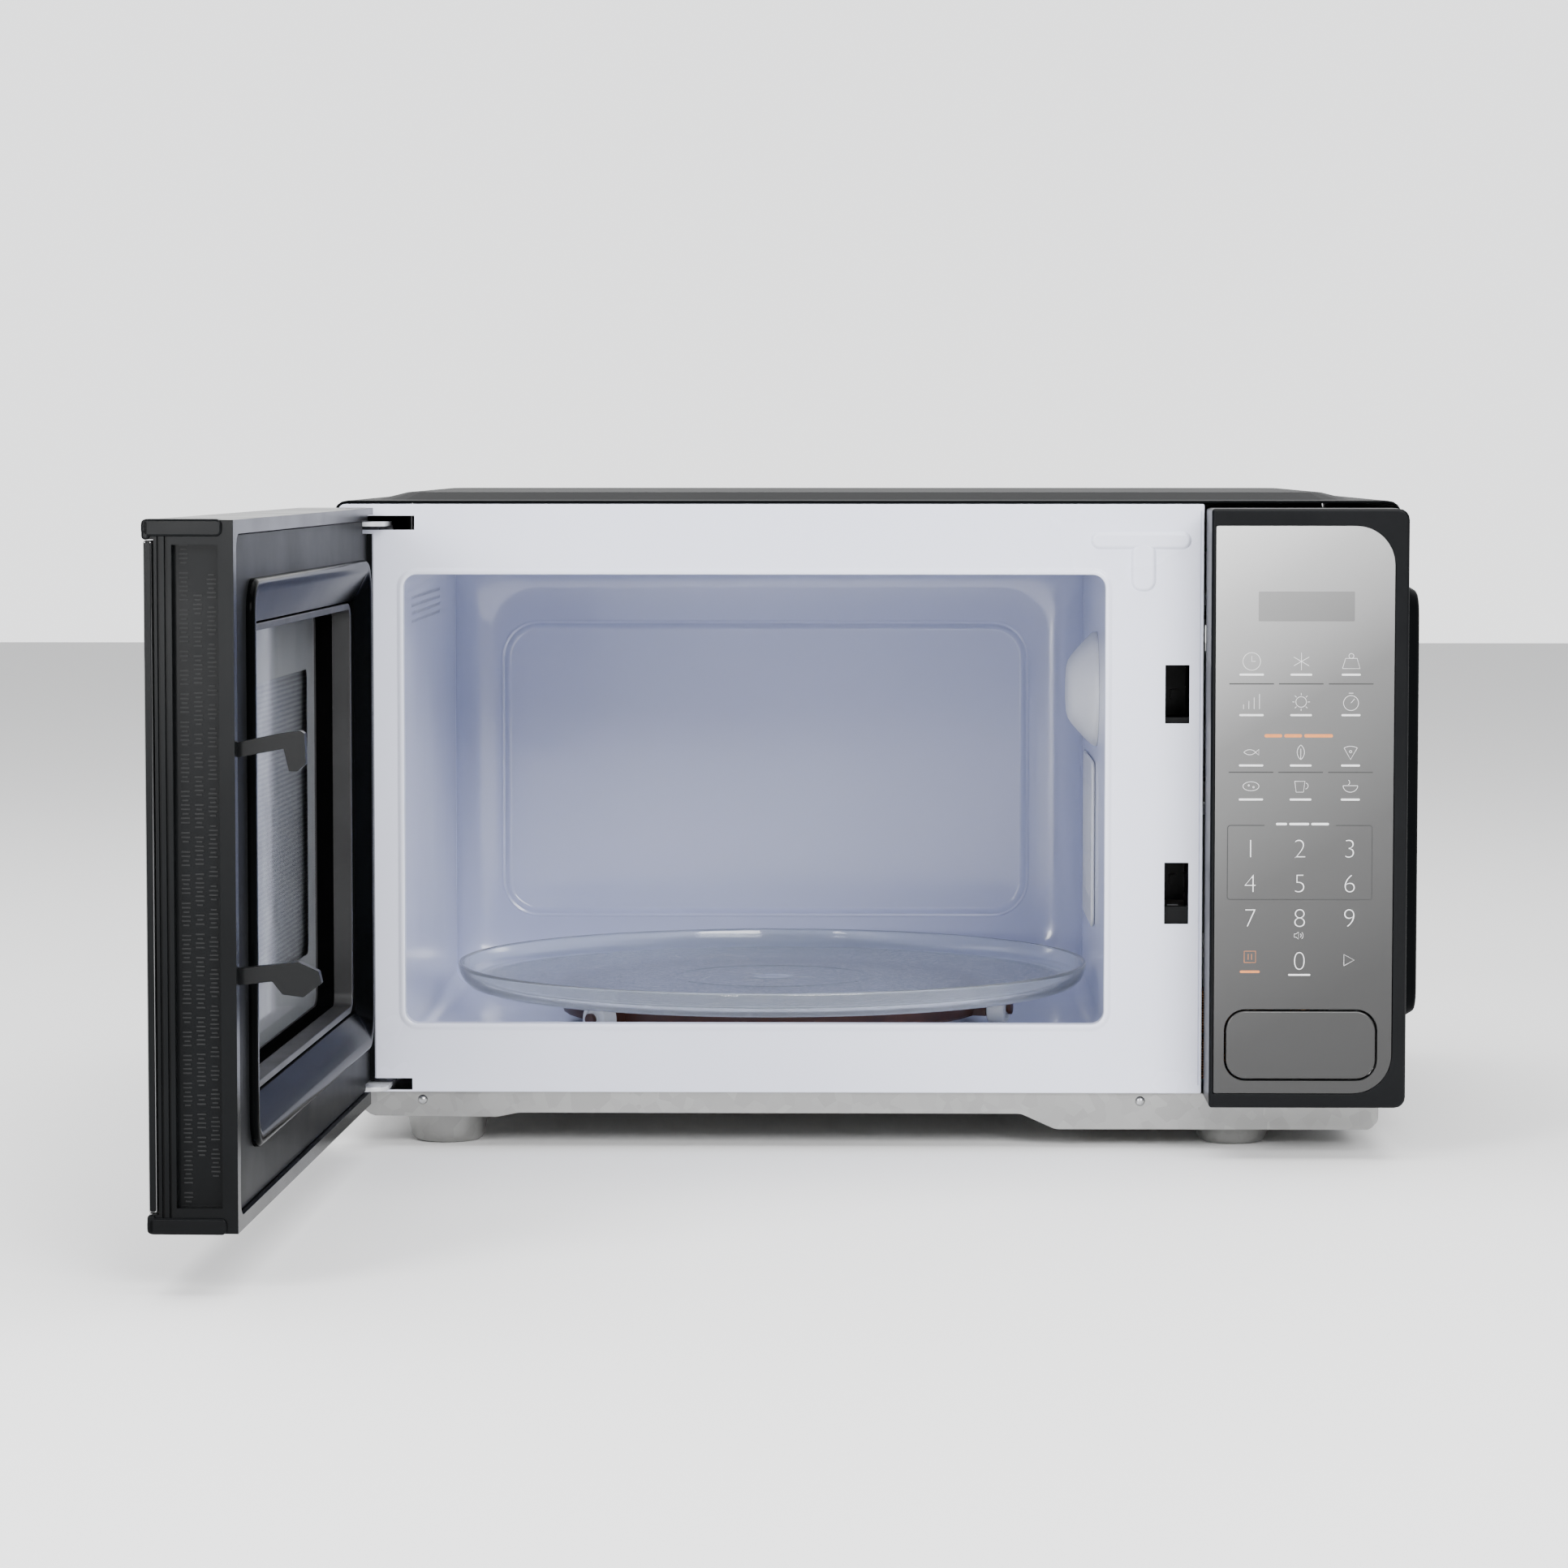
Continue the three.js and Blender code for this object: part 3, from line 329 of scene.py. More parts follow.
# The walls' enamel again, painted darker for the back wall: painted shade deep in the cavity.
SHADED_BACK_ENAMEL = finish_of("back_wall_enamel_painted_shade", (0.50, 0.54, 0.75), (0.515, 0.555, 0.76), (0.19, 0.22),
                        mottle=9, grain=900, depth=0.00003, strength=0.12, coat=0.5, coat_rough=0.07)
FRAME_ENAMEL = finish_of("frame_enamel", (0.79, 0.815, 0.95), (0.80, 0.825, 0.96), (0.25, 0.28),
                         mottle=9, grain=900, depth=0.00003, strength=0.10, coat=0.3, coat_rough=0.12)
GALVANISED = galvanised()
PANEL_SILVER = silver_panel("panel_silver")
LENS_GREY = silver_panel("display_lens", 0.62)
DOOR_MIRROR = finish_of("door_mirror_glass", (0.20, 0.203, 0.207), (0.23, 0.233, 0.237), (0.03, 0.06),
                        metallic=0.9, mottle=6, grain=300, depth=0.00001, strength=0.03,
                        coat=1.0, coat_rough=0.02)
TINTED_GLASS = finish_of("tinted_glass", (0.012, 0.0125, 0.013), (0.016, 0.0165, 0.017), (0.04, 0.08),
                         mottle=6, grain=300, depth=0.00001, strength=0.03)
STEEL = finish_of("plated_steel", (0.42, 0.425, 0.43), (0.55, 0.555, 0.56), (0.28, 0.42), metallic=1.0,
                  mottle=120, grain=1800, depth=0.00003)
HINGE_STEEL = finish_of("white_hinge_steel", (0.66, 0.67, 0.70), (0.74, 0.75, 0.78), (0.25, 0.35),
                        metallic=0.3, mottle=80, grain=1800)
WHITE_PLASTIC = finish_of("white_plastic", (0.76, 0.77, 0.80), (0.82, 0.83, 0.85), (0.32, 0.42),
                          mottle=40, grain=2600)
BROWN_PLASTIC = finish_of("brown_plastic", (0.050, 0.017, 0.011), (0.078, 0.026, 0.016), (0.34, 0.46),
                          mottle=60, grain=2600)
BOARD_GREEN = finish_of("circuit_board", (0.012, 0.085, 0.03), (0.022, 0.13, 0.045), (0.3, 0.45),
                        mottle=160, grain=1500)
COPPER = wound_wire("copper_winding", (0.35, 0.13, 0.05), (0.72, 0.34, 0.16))
SPRING_STEEL = wound_wire("spring_steel", (0.3, 0.3, 0.31), (0.5, 0.5, 0.52))
TRAY_GLASS = pressed_glass()
LAMP_GLASS = clear_glass("lamp_glass", (0.97, 0.97, 0.95))
WINDOW_FILM = clear_glass("window_film", (0.86, 0.87, 0.88), 0.05, 1.12)
SCREEN = perforated_sheet()
PRINT_WHITE = finish_of("print_white", (0.74, 0.74, 0.75), (0.80, 0.80, 0.81), (0.45, 0.55), mottle=300)
PRINT_GREY = finish_of("print_grey", (0.020, 0.020, 0.021), (0.028, 0.028, 0.029), (0.45, 0.55), mottle=300)
PRINT_ORANGE = finish_of("print_orange", (0.62, 0.20, 0.045), (0.70, 0.24, 0.06), (0.45, 0.55), mottle=300)
HOLE_SHADE = finish_of("hole_shade", (0.22, 0.235, 0.28), (0.26, 0.275, 0.32), (0.6, 0.7))


# ---------------------------------------------------------------- mesh helpers
def shade(bm):
    """Smooth faces, with the sharp edges left sharp."""
    bm.normal_update()
    for face in bm.faces:
        face.smooth = True
    for edge in bm.edges:
        edge.smooth = len(edge.link_faces) == 2 and edge.calc_face_angle(math.pi) < SHARP


def to_piece(name, bm, mat, body, matrix=None):
    """A finished mesh becomes a named piece that rides on a body."""
    if matrix is not None:
        bmesh.ops.transform(bm, matrix=matrix, verts=bm.verts)
    mesh = bpy.data.meshes.new(name)
    bm.to_mesh(mesh)
    bm.free()
    mesh.materials.append(mat)
    piece = bpy.data.objects.new(name, mesh)
    bpy.context.scene.collection.objects.link(piece)
    piece.modifiers.new("even_shading", "WEIGHTED_NORMAL").keep_sharp = True
    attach(piece, body)
    return piece


def polished(node, mat, body, soft=0.4, arc=0.0, steps=2):
    """A CAD node with its edges rounded, in millimetres: arc smooths the steps of coarse round corners and
    soft breaks the sharper edges."""
    bm = bmesh.new()
    bm.from_mesh(frame["nodes"][node].data)
    bmesh.ops.remove_doubles(bm, verts=bm.verts, dist=2e-6)
    bmesh.ops.dissolve_limit(bm, angle_limit=math.radians(1.0), verts=bm.verts, edges=bm.edges)

    def bevel(low, high, width, segments):
        edges = [e for e in bm.edges if len(e.link_faces) == 2
                 and math.radians(low) < e.calc_face_angle(0) < math.radians(high)]
        bmesh.ops.bevel(bm, geom=edges, offset=width * MM, offset_type="OFFSET", segments=segments,
                        profile=0.5, affect="EDGES", clamp_overlap=True)

    if arc:
        bevel(24, 62, arc, 3)
    if soft:
        bevel(30, 180, soft, steps)
    shade(bm)
    piece = to_piece(node + "_surface", bm, mat, body)
    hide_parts(node)


def rounded(x, z, radius):
    """The points of a rounded rectangle. Radii run from the top right corner, counter-clockwise."""
    radii = radius if isinstance(radius, tuple) else (radius,) * 4
    corners = ((x[1], z[1], -1, -1), (x[0], z[1], 1, -1), (x[0], z[0], 1, 1), (x[1], z[0], -1, 1))
    points = []
    for turn, ((cx, cz, sx, sz), r) in enumerate(zip(corners, radii)):
        r = max(r, 0.01)
        for step in range(CORNER + 1):
            angle = math.pi / 2 * (turn + step / CORNER)
            points.append((cx + r * (sx + math.cos(angle)), cz + r * (sz + math.sin(angle))))
    return points


def inset(shape, by):
    """A rounded rectangle drawn in on all sides, or grown where by is negative."""
    (x0, x1), (z0, z1), radius = shape
    radii = radius if isinstance(radius, tuple) else (radius,) * 4
    return (x0 + by, x1 - by), (z0 + by, z1 - by), tuple(max(r - by, 0.01) for r in radii)


def stepped(shape, *steps):
    """Stations worked out from one shape. A step is (inset, depth)."""
    return [(inset(shape, by), depth) for by, depth in steps]


def loft(stations, plane="front", loop=False):
    """Rings of rounded rectangles joined in order and closed by two end faces, or joined end to end as a
    loop. A station is (shape, depth): depth runs along Y for plane front and X for plane side."""
    bm = bmesh.new()
    rings = []
    for (first, second, radius), depth in stations:
        ring = []
        for a, b in rounded(first, second, radius):
            ring.append(bm.verts.new(at(a, depth, b) if plane == "front" else at(depth, a, b)))
        rings.append(ring)
    pairs = list(zip(rings, rings[1:])) + ([(rings[-1], rings[0])] if loop else [])
    for near, far in pairs:
        for i in range(len(near)):
            j = (i + 1) % len(near)
            bm.faces.new((near[i], near[j], far[j], far[i]))
    if not loop:
        bm.faces.new(rings[0])
        bm.faces.new(reversed(rings[-1]))
    bmesh.ops.recalc_face_normals(bm, faces=bm.faces)
    return bm


def quarter(shape, depth, radius, sign, steps=4):
    """Stations that round an edge over, from the side of a shape to its face at depth."""
    out = []
    for step in range(steps + 1):
        angle = math.pi / 2 * step / steps
        out.append((inset(shape, radius * (1 - math.cos(angle))),
                    depth + sign * radius * (1 - math.sin(angle))))
    return out


def plate(shape, back, front, edge, plane="front"):
    """A flat plate between two depths, with a rounded edge at front, which is the face that is seen."""
    sign = 1 if back > front else -1
    return loft([(shape, back)] + quarter(shape, front, edge, sign), plane)


def surround(first, second, start, stop):
    """A band between two outlines, from one depth to another."""
    return loft([(first, start), (first, stop), (second, stop), (second, start)], loop=True)


def turned(profile, centre, segments, tilt=Matrix.Identity(4)):
    """A profile of (radius, height) in millimetres spun about Z, tilted and put at centre, a frame point."""
    bm = bmesh.new()
    rings = []
    for radius, height in profile:
        count = segments if radius > 0.001 else 1
        angles = [2 * math.pi * i / segments for i in range(count)]
        rings.append([bm.verts.new((radius * MM * math.cos(a), radius * MM * math.sin(a), height * MM))
                      for a in angles])
    for near, far in zip(rings, rings[1:]):
        for i in range(segments):
            j = (i + 1) % segments
            corners = (near[i % len(near)], near[j % len(near)], far[j % len(far)], far[i % len(far)])
            if len(set(corners)) > 2:
                bm.faces.new(dict.fromkeys(corners))
    bmesh.ops.transform(bm, matrix=Matrix.Translation(centre) @ tilt, verts=bm.verts)
    bmesh.ops.remove_doubles(bm, verts=bm.verts, dist=1e-7)
    bmesh.ops.recalc_face_normals(bm, faces=bm.faces)
    return bm


def block(x, y, z):
    """A plain box in millimetres."""
    return loft([((x, z, 0.01), y[0]), ((x, z, 0.01), y[1])])


def merged(*parts):
    """Several meshes put into one."""
    whole = bmesh.new()
    for part in parts:
        mesh = bpy.data.meshes.new("part")
        part.to_mesh(mesh)
        part.free()
        whole.from_mesh(mesh)
        bpy.data.meshes.remove(mesh)
    return whole


def carved(bm, *cutters):
    """The mesh with closed cutters taken away from it."""
    objects = []
    for part in (bm, merged(*cutters)):
        mesh = bpy.data.meshes.new("carving")
        part.to_mesh(mesh)
        part.free()
        obj = bpy.data.objects.new("carving", mesh)
        bpy.context.scene.collection.objects.link(obj)
        objects.append(obj)
    body, tool = objects
    cut = body.modifiers.new("cut", "BOOLEAN")
    cut.operation = "DIFFERENCE"
    cut.solver = "EXACT"
    cut.object = tool
    bpy.context.view_layer.update()
    result = bpy.data.meshes.new_from_object(body.evaluated_get(bpy.context.evaluated_depsgraph_get()))
    out = bmesh.new()
    out.from_mesh(result)
    for obj in objects:
        mesh = obj.data
        bpy.data.objects.remove(obj)
        bpy.data.meshes.remove(mesh)
    bpy.data.meshes.remove(result)
    return out


def make(name, bm, mat, body, replaces=(), matrix=None):
    """A shaded piece that stands in for the nodes it replaces, or adds to them."""
    shade(bm)
    piece = to_piece(name, bm, mat, body, matrix)
    if replaces:
        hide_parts(*replaces)
    return piece


# ---------------------------------------------------------------- case, pan and back
CABINET = "cabinet"
RIB_SPAN, RIB_HEIGHTS = (-190, 100), (112, 268)
RATING_LABEL = ((-60, 30), (160, 215), 2)
LABEL_LEFT = -52
LABEL_BARS = ((206, 46), (199, 62), (192, 54), (185, 70), (171, 30))   # height above the table, width
TALL_FOOT, LOW_FOOT = (19.8, 17.3, 15.4), (18.8, 16.3, 10.0)           # upper and lower radius, height
FEET = ((-197, 30, *TALL_FOOT), (172, 30, *LOW_FOOT), (-197, 340, *TALL_FOOT), (172, 340, *LOW_FOOT))
PAN_RIVETS = {"left": -206.5, "right": 127.4}


def case_and_pan():
    polished("outer_case", CASE_PAINT, CABINET, soft=0.5, arc=1.6)
    polished("back_panel", GALVANISED, CABINET, soft=0.3, arc=1.0)
    polished("base_pan", GALVANISED, CABINET, soft=0.5, arc=2.0)
    for number in range(1, 5):
        polished(f"case_screw_{number}", STEEL, CABINET, soft=0.3)
    polished("cord_gland", SATIN_BLACK, CABINET, soft=0.4)
    back = mm_box("back_panel")[1][1]
    ribs = []
    for z in RIB_HEIGHTS:
        rib = (RIB_SPAN, (z - 5, z + 5), 5)
        ribs.append(loft(stepped(rib, (-1.5, back - 0.2), (-0.8, back + 0.3), (0.4, back + 1.1),
                                 (1.4, back + 1.4))))
    make("back_ribs", merged(*ribs), GALVANISED, CABINET)
    label = plate(RATING_LABEL, back - 0.1, back + 0.12, 0.05)
    make("rating_label", label, WHITE_PLASTIC, CABINET)
    lines = []
    for z, width in LABEL_BARS:
        shape = ((LABEL_LEFT, LABEL_LEFT + width), (z - 1, z + 1), 0.4)
        lines.append(loft([(shape, back), (shape, back + 0.16)]))
    make("label_bars", merged(*lines), PRINT_GREY, CABINET)
    for corner, (x, y, wide, narrow, top) in enumerate(FEET, 1):
        profile = [(0, 0.05)] + [(narrow - 4 + 4 * math.sin(a), 4 - 3.95 * math.cos(a))
                                 for a in (math.radians(15 * i) for i in range(7))]
        profile += [(wide - 0.6, top - 2), (wide + 1.2, top - 0.4), (wide + 3, top)]
        make(f"pressed_foot_{corner}", turned(profile, at(x, y, 0), 64), GALVANISED, CABINET)
    for side, x in PAN_RIVETS.items():
        dome = turned([(0, 1.4), (1.2, 1.2), (2.0, 0.6), (2.3, 0)], at(x, 3, 22), 32,
                      Matrix.Rotation(math.pi / 2, 4, "X"))
        make(f"pan_rivet_{side}", dome, STEEL, CABINET)


# ---------------------------------------------------------------- front frame and cavity
FRAME_SHEET = ((-244.5, 155.6), (26, 299.2), (1, 4, 1, 1))
OPENING = ((-214, 110.2), (58.2, 266.6), 6)
FRAME_SLOTS = (((137.9, 149.1), (198, 225)), ((137.9, 149.1), (105, 133.5)),      # for the two hooks
               ((-241, -208.8), (287.2, 293.8)), ((-241, -211), (27, 32.4)))      # for the two hinges
STIFFENER_BAR = ((104, 149), (279, 286), 3.4)
STIFFENER_STEM = ((122.5, 132.8), (259.5, 281), 4.5)
WALLS = ((-218, 115), (40, 270), (14, 14, 8, 8))
FRONT, BACK = 1.3, 350                               # where the cavity's walls start and end
PRESSED = ((-192, 84), (77.6, 230.5), 17)            # the pressed panel in the back wall
BACK_BEND = 19                                       # radius where the back meets the walls
HOLE_ROWS, HOLE_COLUMNS = 4, 30                      # the perforations in the left wall
FIRST_HOLE, HOLE_PITCH = (84, 242), (5.2, 3.8)       # along the wall and up it


def face_frame():
    rolled_edge = stepped(OPENING, (-3.4, 0), (-2.8, -0.2), (-2.2, -0.55), (-1.4, -0.8), (-0.7, -0.75),
                          (-0.15, -0.45), (0, 0), (0, 6), (-0.8, 6), (-0.8, 1.0))
    ring = loft([(FRAME_SHEET, 1.0)] + quarter(FRAME_SHEET, 0, 0.6, 1) + rolled_edge, loop=True)
    slots = [block(x, (-3, 4), z) for x, z in FRAME_SLOTS]
    groove = block((153.8, 154.6), (-1, 0.85), (30, 296))
    face = carved(ring, groove, *slots)
    make("face_frame_surface", face, FRAME_ENAMEL, CABINET, ["face_frame"])
    stiffener = [loft(stepped(shape, (-0.7, 0.1), (-0.5, -0.12), (0, -0.9), (0.6, -1.4), (1.3, -1.55)))
                 for shape in (STIFFENER_BAR, STIFFENER_STEM)]
    make("frame_stiffener", merged(*stiffener), FRAME_ENAMEL, CABINET)


def back_wall():
    """The back sheet: a wide bend all round, a raised line and the pressed panel inside it, in the cavity's
    enamel painted darker for painted shade.
    """
    stations = stepped(WALLS, (-0.9, BACK + 3.6), (-0.9, BACK - BACK_BEND))
    for step in range(9):
        angle = math.pi / 2 * step / 8
        x, z, _ = inset(WALLS, 0.15 + BACK_BEND * (1 - math.cos(angle)))
        corner = 14 + 10 * math.sin(angle)
        shape = (x, z, (corner, corner, corner - 4, corner - 4))
        stations.append((shape, BACK - BACK_BEND * (1 - math.sin(angle))))
    stations += stepped(PRESSED, (-3.4, BACK), (-2.4, BACK - 0.5), (-1.2, BACK - 0.2), (-0.2, BACK + 1.2),
                        (1.0, BACK + 2.2), (2.4, BACK + 2.6))
    make("cavity_back_surface", loft(stations), SHADED_BACK_ENAMEL, CABINET, ["cavity_back"])


def cavity():
    make("cavity_walls", surround(WALLS, inset(WALLS, -1), FRONT, BACK), ENAMEL, CABINET,
         ["cavity_wrapper", "cavity_floor"])
    back_wall()

    low, high = mm_box("antenna_cover")[1:]
    centre = at(WALLS[0][1] - 0.1, (low[0] + low[1]) / 2, (high[0] + high[1]) / 2)
    dome = [(0, 0), (28.6, 0), (28.5, 1.2), (27.6, 2.8), (24.6, 5.9), (20.6, 9.6), (17.4, 12.4),
            (14.6, 14.2), (11.4, 15.1), (6.0, 15.5), (0, 15.6)]
    make("antenna_cover_surface", turned(dome, centre, 96, Matrix.Rotation(-math.pi / 2, 4, "Y")),
         WHITE_PLASTIC, CABINET, ["antenna_cover"])
    polished("side_vent_cover", WHITE_PLASTIC, CABINET, soft=0.4)

    holes = []
    for row in range(HOLE_ROWS):
        for column in range(HOLE_COLUMNS):
            along = FIRST_HOLE[0] + HOLE_PITCH[0] * column + HOLE_PITCH[0] / 2 * (row % 2)
            spot = at(WALLS[0][0], along, FIRST_HOLE[1] + HOLE_PITCH[1] * row)
            holes.append(turned([(0, 0.08), (0.9, 0.06), (1.0, 0)], spot, 12,
                                Matrix.Rotation(math.pi / 2, 4, "Y")))
    make("wall_perforations", merged(*holes), HOLE_SHADE, CABINET)


# ---------------------------------------------------------------- control panel
PANEL_Y = mm_box("control_panel_face")[1][0]
FACE = ((158.5, 239.5), (31, 289.7), (17.7, 0.8, 0.8, 17.7))
BUTTON = ((163.4, 232.8), (37, 69.4), 9.5)
DISPLAY = ((177.8, 221.3), (246.5, 260), 0.4)
COLUMNS = (174.8, 197.3, 219.9)
LEGEND_ROWS = (226.9, 208.5, 185.6, 170.1)
SEPARATOR_ROWS = (218.1, 177.9)
DIGIT_TOP_ROW, DIGIT_PITCH, ZERO_ROW = 143.2, 15.85, 91.9
DIGIT_HEIGHT = 8.8
CAP_HEIGHT = 0.7                                     # a digit's height as a share of its font size
QUICK_START = ((164.1, 230.2), (119.6, 153.9), 1.6)  # the outline round the first digits
INK = 0.04                                           # how far print stands off the face


def printed(name, bm, mat):
    make(name, bm, mat, CABINET)


def bar(x, z, width, height):
    """A printed bar centred on x and z."""
    shape = ((x - width / 2, x + width / 2), (z - height / 2, z + height / 2), height * 0.45)
    return loft([(shape, PANEL_Y + 0.1), (shape, PANEL_Y - INK)])


def bars(z, height, *places):
    """Printed bars in a row. A place is (x from the middle column, width)."""
    return merged(*[bar(COLUMNS[1] + dx, z, width, height) for dx, width in places])


def arc(cx, cz, rx, rz, start=0, stop=360):
    """Points along an ellipse, from one angle in degrees to another."""
    angles = [math.radians(start + (stop - start) * i / 24) for i in range(25)]
    return [(cx + rx * math.cos(a), cz + rz * math.sin(a)) for a in angles]


def ink_line(name, x, z, size, lines, mat, width):
    """Strokes printed round a centre. Each line is a list of (u, v), where size is the length of 1."""
    curve = bpy.data.curves.new(name, "CURVE")
    curve.dimensions = "3D"
    curve.bevel_depth = width * MM
    curve.bevel_resolution = 2
    curve.use_fill_caps = True
    for line in lines:
        spline = curve.splines.new("POLY")
        spline.points.add(len(line) - 1)
        for point, (u, v) in zip(spline.points, line):
            point.co = (*at(x + u * size, PANEL_Y + width - INK, z + v * size), 1)
    curve.materials.append(mat)
    obj = bpy.data.objects.new(name, curve)
    bpy.context.scene.collection.objects.link(obj)
    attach(obj, CABINET)


def digit(value, x, z):
    """A printed digit centred on x and z."""
    curve = bpy.data.curves.new(f"digit_{value}", "FONT")
    curve.body = str(value)
    curve.align_x = "CENTER"
    curve.size = DIGIT_HEIGHT / CAP_HEIGHT * MM
    curve.offset = -0.00038                          # thins the strokes
    curve.extrude = 0.00003
    curve.materials.append(PRINT_WHITE)
    obj = bpy.data.objects.new(f"digit_{value}", curve)
    obj.location = at(x, PANEL_Y - 0.01, z - DIGIT_HEIGHT / 2)
    obj.rotation_euler = (math.pi / 2, 0, 0)
    bpy.context.scene.collection.objects.link(obj)
    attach(obj, CABINET)


CIRCLE = arc(0, 0, 1, 1)
PICTOGRAMS = {
    "clock": [CIRCLE, [(0, 0.6), (0, 0), (0.45, 0)]],
    "flake": [[(math.cos(a), math.sin(a)), (-math.cos(a), -math.sin(a))] for a in (0.52, 1.57, 2.62)],
    "weight": [[(-1, -0.8), (1, -0.8), (0.65, 0.35), (-0.65, 0.35), (-1, -0.8)], arc(0, 0.62, 0.28, 0.28)],
    "level": [[(u, -0.8), (u, top)] for u, top in ((-0.9, -0.3), (-0.3, 0.1), (0.3, 0.5), (0.9, 0.9))],
    "dial": [arc(0, 0, 0.6, 0.6)] + [[(0.75 * math.cos(a), 0.75 * math.sin(a)), (math.cos(a), math.sin(a))]
                                     for a in (math.pi / 4 * i for i in range(8))],
    "timer": [arc(0, -0.12, 0.85, 0.85), [(0, -0.12), (0.4, 0.35)], [(-0.25, 1.0), (0.25, 1.0)]],
    "fish": [arc(-0.2, -0.75, 1.1, 1.1, 43, 137), arc(-0.2, 0.75, 1.1, 1.1, -137, -43),
             [(0.6, 0), (1.05, 0.4), (1.05, -0.4), (0.6, 0)]],
    "leaf": [arc(-0.75, 0, 1.25, 1.25, -53, 53), arc(0.75, 0, 1.25, 1.25, 127, 233), [(0, -1), (0, 0.5)]],
    "slice": [[(-0.9, 0.6), (0, -1), (0.9, 0.6)], arc(0, -1, 1.84, 1.84, 60.6, 119.4),
              arc(0, 0.1, 0.16, 0.16)],
    "oval": [arc(0, 0, 1.1, 0.62), arc(-0.3, 0.12, 0.1, 0.1), arc(0.35, -0.12, 0.1, 0.1)],
    "cup": [[(-0.8, 0.7), (-0.6, -0.8), (0.4, -0.8), (0.6, 0.7), (-0.8, 0.7)],
            arc(0.62, 0.05, 0.42, 0.42, -80, 75)],
    "bowl": [[(-1, 0.1), (1, 0.1)], arc(0, 0.1, 1, 0.9, 180, 360), arc(-0.3, 0.55, 0.2, 0.3, -90, 90)],
}


def control_panel():
    polished("control_panel_bezel", BEZEL_BLACK, CABINET, soft=0.7, arc=1.5, steps=3)
    hole = inset(BUTTON, -0.25)
    pocket = loft([(hole, PANEL_Y - 1), (hole, PANEL_Y + 6)])
    face = carved(plate(FACE, PANEL_Y + 1, PANEL_Y, 0.15), pocket)
    make("panel_face_surface", face, PANEL_SILVER, CABINET, ["control_panel_face"])
    make("display_lens_surface", plate(DISPLAY, PANEL_Y + 0.6, PANEL_Y - 0.05, 0.03), LENS_GREY, CABINET,
         ["display_window"])
    frame["nodes"]["open_button"].data.materials[0] = SATIN_BLACK
    make("open_button_cap", plate(inset(BUTTON, 0.65), PANEL_Y + 4, PANEL_Y - 0.35, 0.7), PANEL_SILVER,
         "open_button")
    keypad_print()


def keypad_print():
    for index, (name, lines) in enumerate(PICTOGRAMS.items()):
        x, z = COLUMNS[index % 3], LEGEND_ROWS[index // 3]
        size = 4.0 if index < 6 else 3.3
        ink_line(f"legend_{name}", x, z + 1.4, size, lines, PRINT_WHITE, 0.34)
        printed(f"legend_bar_{name}", bar(x, z - 4.6, 11 - 1.2 * (index % 3), 0.9), PRINT_WHITE)
    for row, z in enumerate(SEPARATOR_ROWS, 1):
        printed(f"separators_{row}", merged(*[bar(x, z, 20.3, 0.5) for x in COLUMNS]), PRINT_GREY)
    printed("heading_orange", bars(194.5, 1.5, (-12.5, 8), (-3.5, 8), (8, 13)), PRINT_ORANGE)
    printed("heading_light", bars(154.3, 1.1, (-8.5, 5), (-0.5, 9), (9, 8)), PRINT_WHITE)
    outline = surround(QUICK_START, inset(QUICK_START, 0.45), PANEL_Y + 0.1, PANEL_Y - INK)
    gap = block((181, 213.5), (PANEL_Y - 1, PANEL_Y + 1), (150, 156))
    printed("quick_start_outline", carved(outline, gap), PRINT_GREY)
    for index in range(9):
        digit(index + 1, COLUMNS[index % 3], DIGIT_TOP_ROW - DIGIT_PITCH * (index // 3))
    digit(0, COLUMNS[1], ZERO_ROW)
    printed("zero_bar", bar(COLUMNS[1], 85.4, 10, 0.8), PRINT_WHITE)
    speaker = [(-1.6, 0.5), (-1, 0.5), (-0.3, 1.1), (-0.3, -1.1), (-1, -0.5), (-1.6, -0.5), (-1.6, 0.5)]
    waves = [arc(-0.3, 0, reach, reach, -45, 45) for reach in (0.8, 1.4)]
    ink_line("sound_icon", COLUMNS[1], 103.4, 1.5, [speaker] + waves, PRINT_WHITE, 0.14)
    square = [(-1, -1), (1, -1), (1, 1), (-1, 1), (-1, -1)]
    pause = [[(u, -0.5), (u, 0.5)] for u in (-0.3, 0.3)]
    ink_line("pause_icon", COLUMNS[0], 93.6, 2.6, [square] + pause, PRINT_ORANGE, 0.22)
    printed("stop_bar", bar(COLUMNS[0], 86.8, 9, 1.1), PRINT_ORANGE)
    triangle = [(-0.9, -1), (0.9, 0), (-0.9, 1), (-0.9, -1)]
    ink_line("start_icon", COLUMNS[2], 92.2, 2.6, [triangle], PRINT_WHITE, 0.22)


# ---------------------------------------------------------------- door, described as it lies shut
WINDOW = ((-200, 90), (72, 252), 8)
PANE = ((-178, 68), (98, 226), 4)                    # the clear part of the film
TINT = ((-186, 84), (84, 244), 12)                   # the darker patch on the outer glass
COVER = ((-231.7, 147.7), (30.3, 291.7), 5.7)
BEAD = ((-225, 112), (50, 274), 14)
CREST = -1.3                                         # depth of the bead's top
HOOK_ROOMS = ((198.4, 226), (110.6, 137))            # heights of the holes for the hooks
HINGE_ROOMS = ((285.6, 294.4), (23, 33.6))           # heights of the rooms for the hinge plates
HINGE_REACH = 20.4                                   # radius of those rooms round the pins
GLASS_EDGE = ((-36.5, -34.0), (32.6, 288.9), 0.8)
END_CAPS = {"top": ((291.2, 297.9), (289.9, 297.7)), "bottom": ((23.9, 30.4), (24.1, 31.6))}
CAP_DEPTHS = (149, 156.0)                            # from inside the free end to its outer face
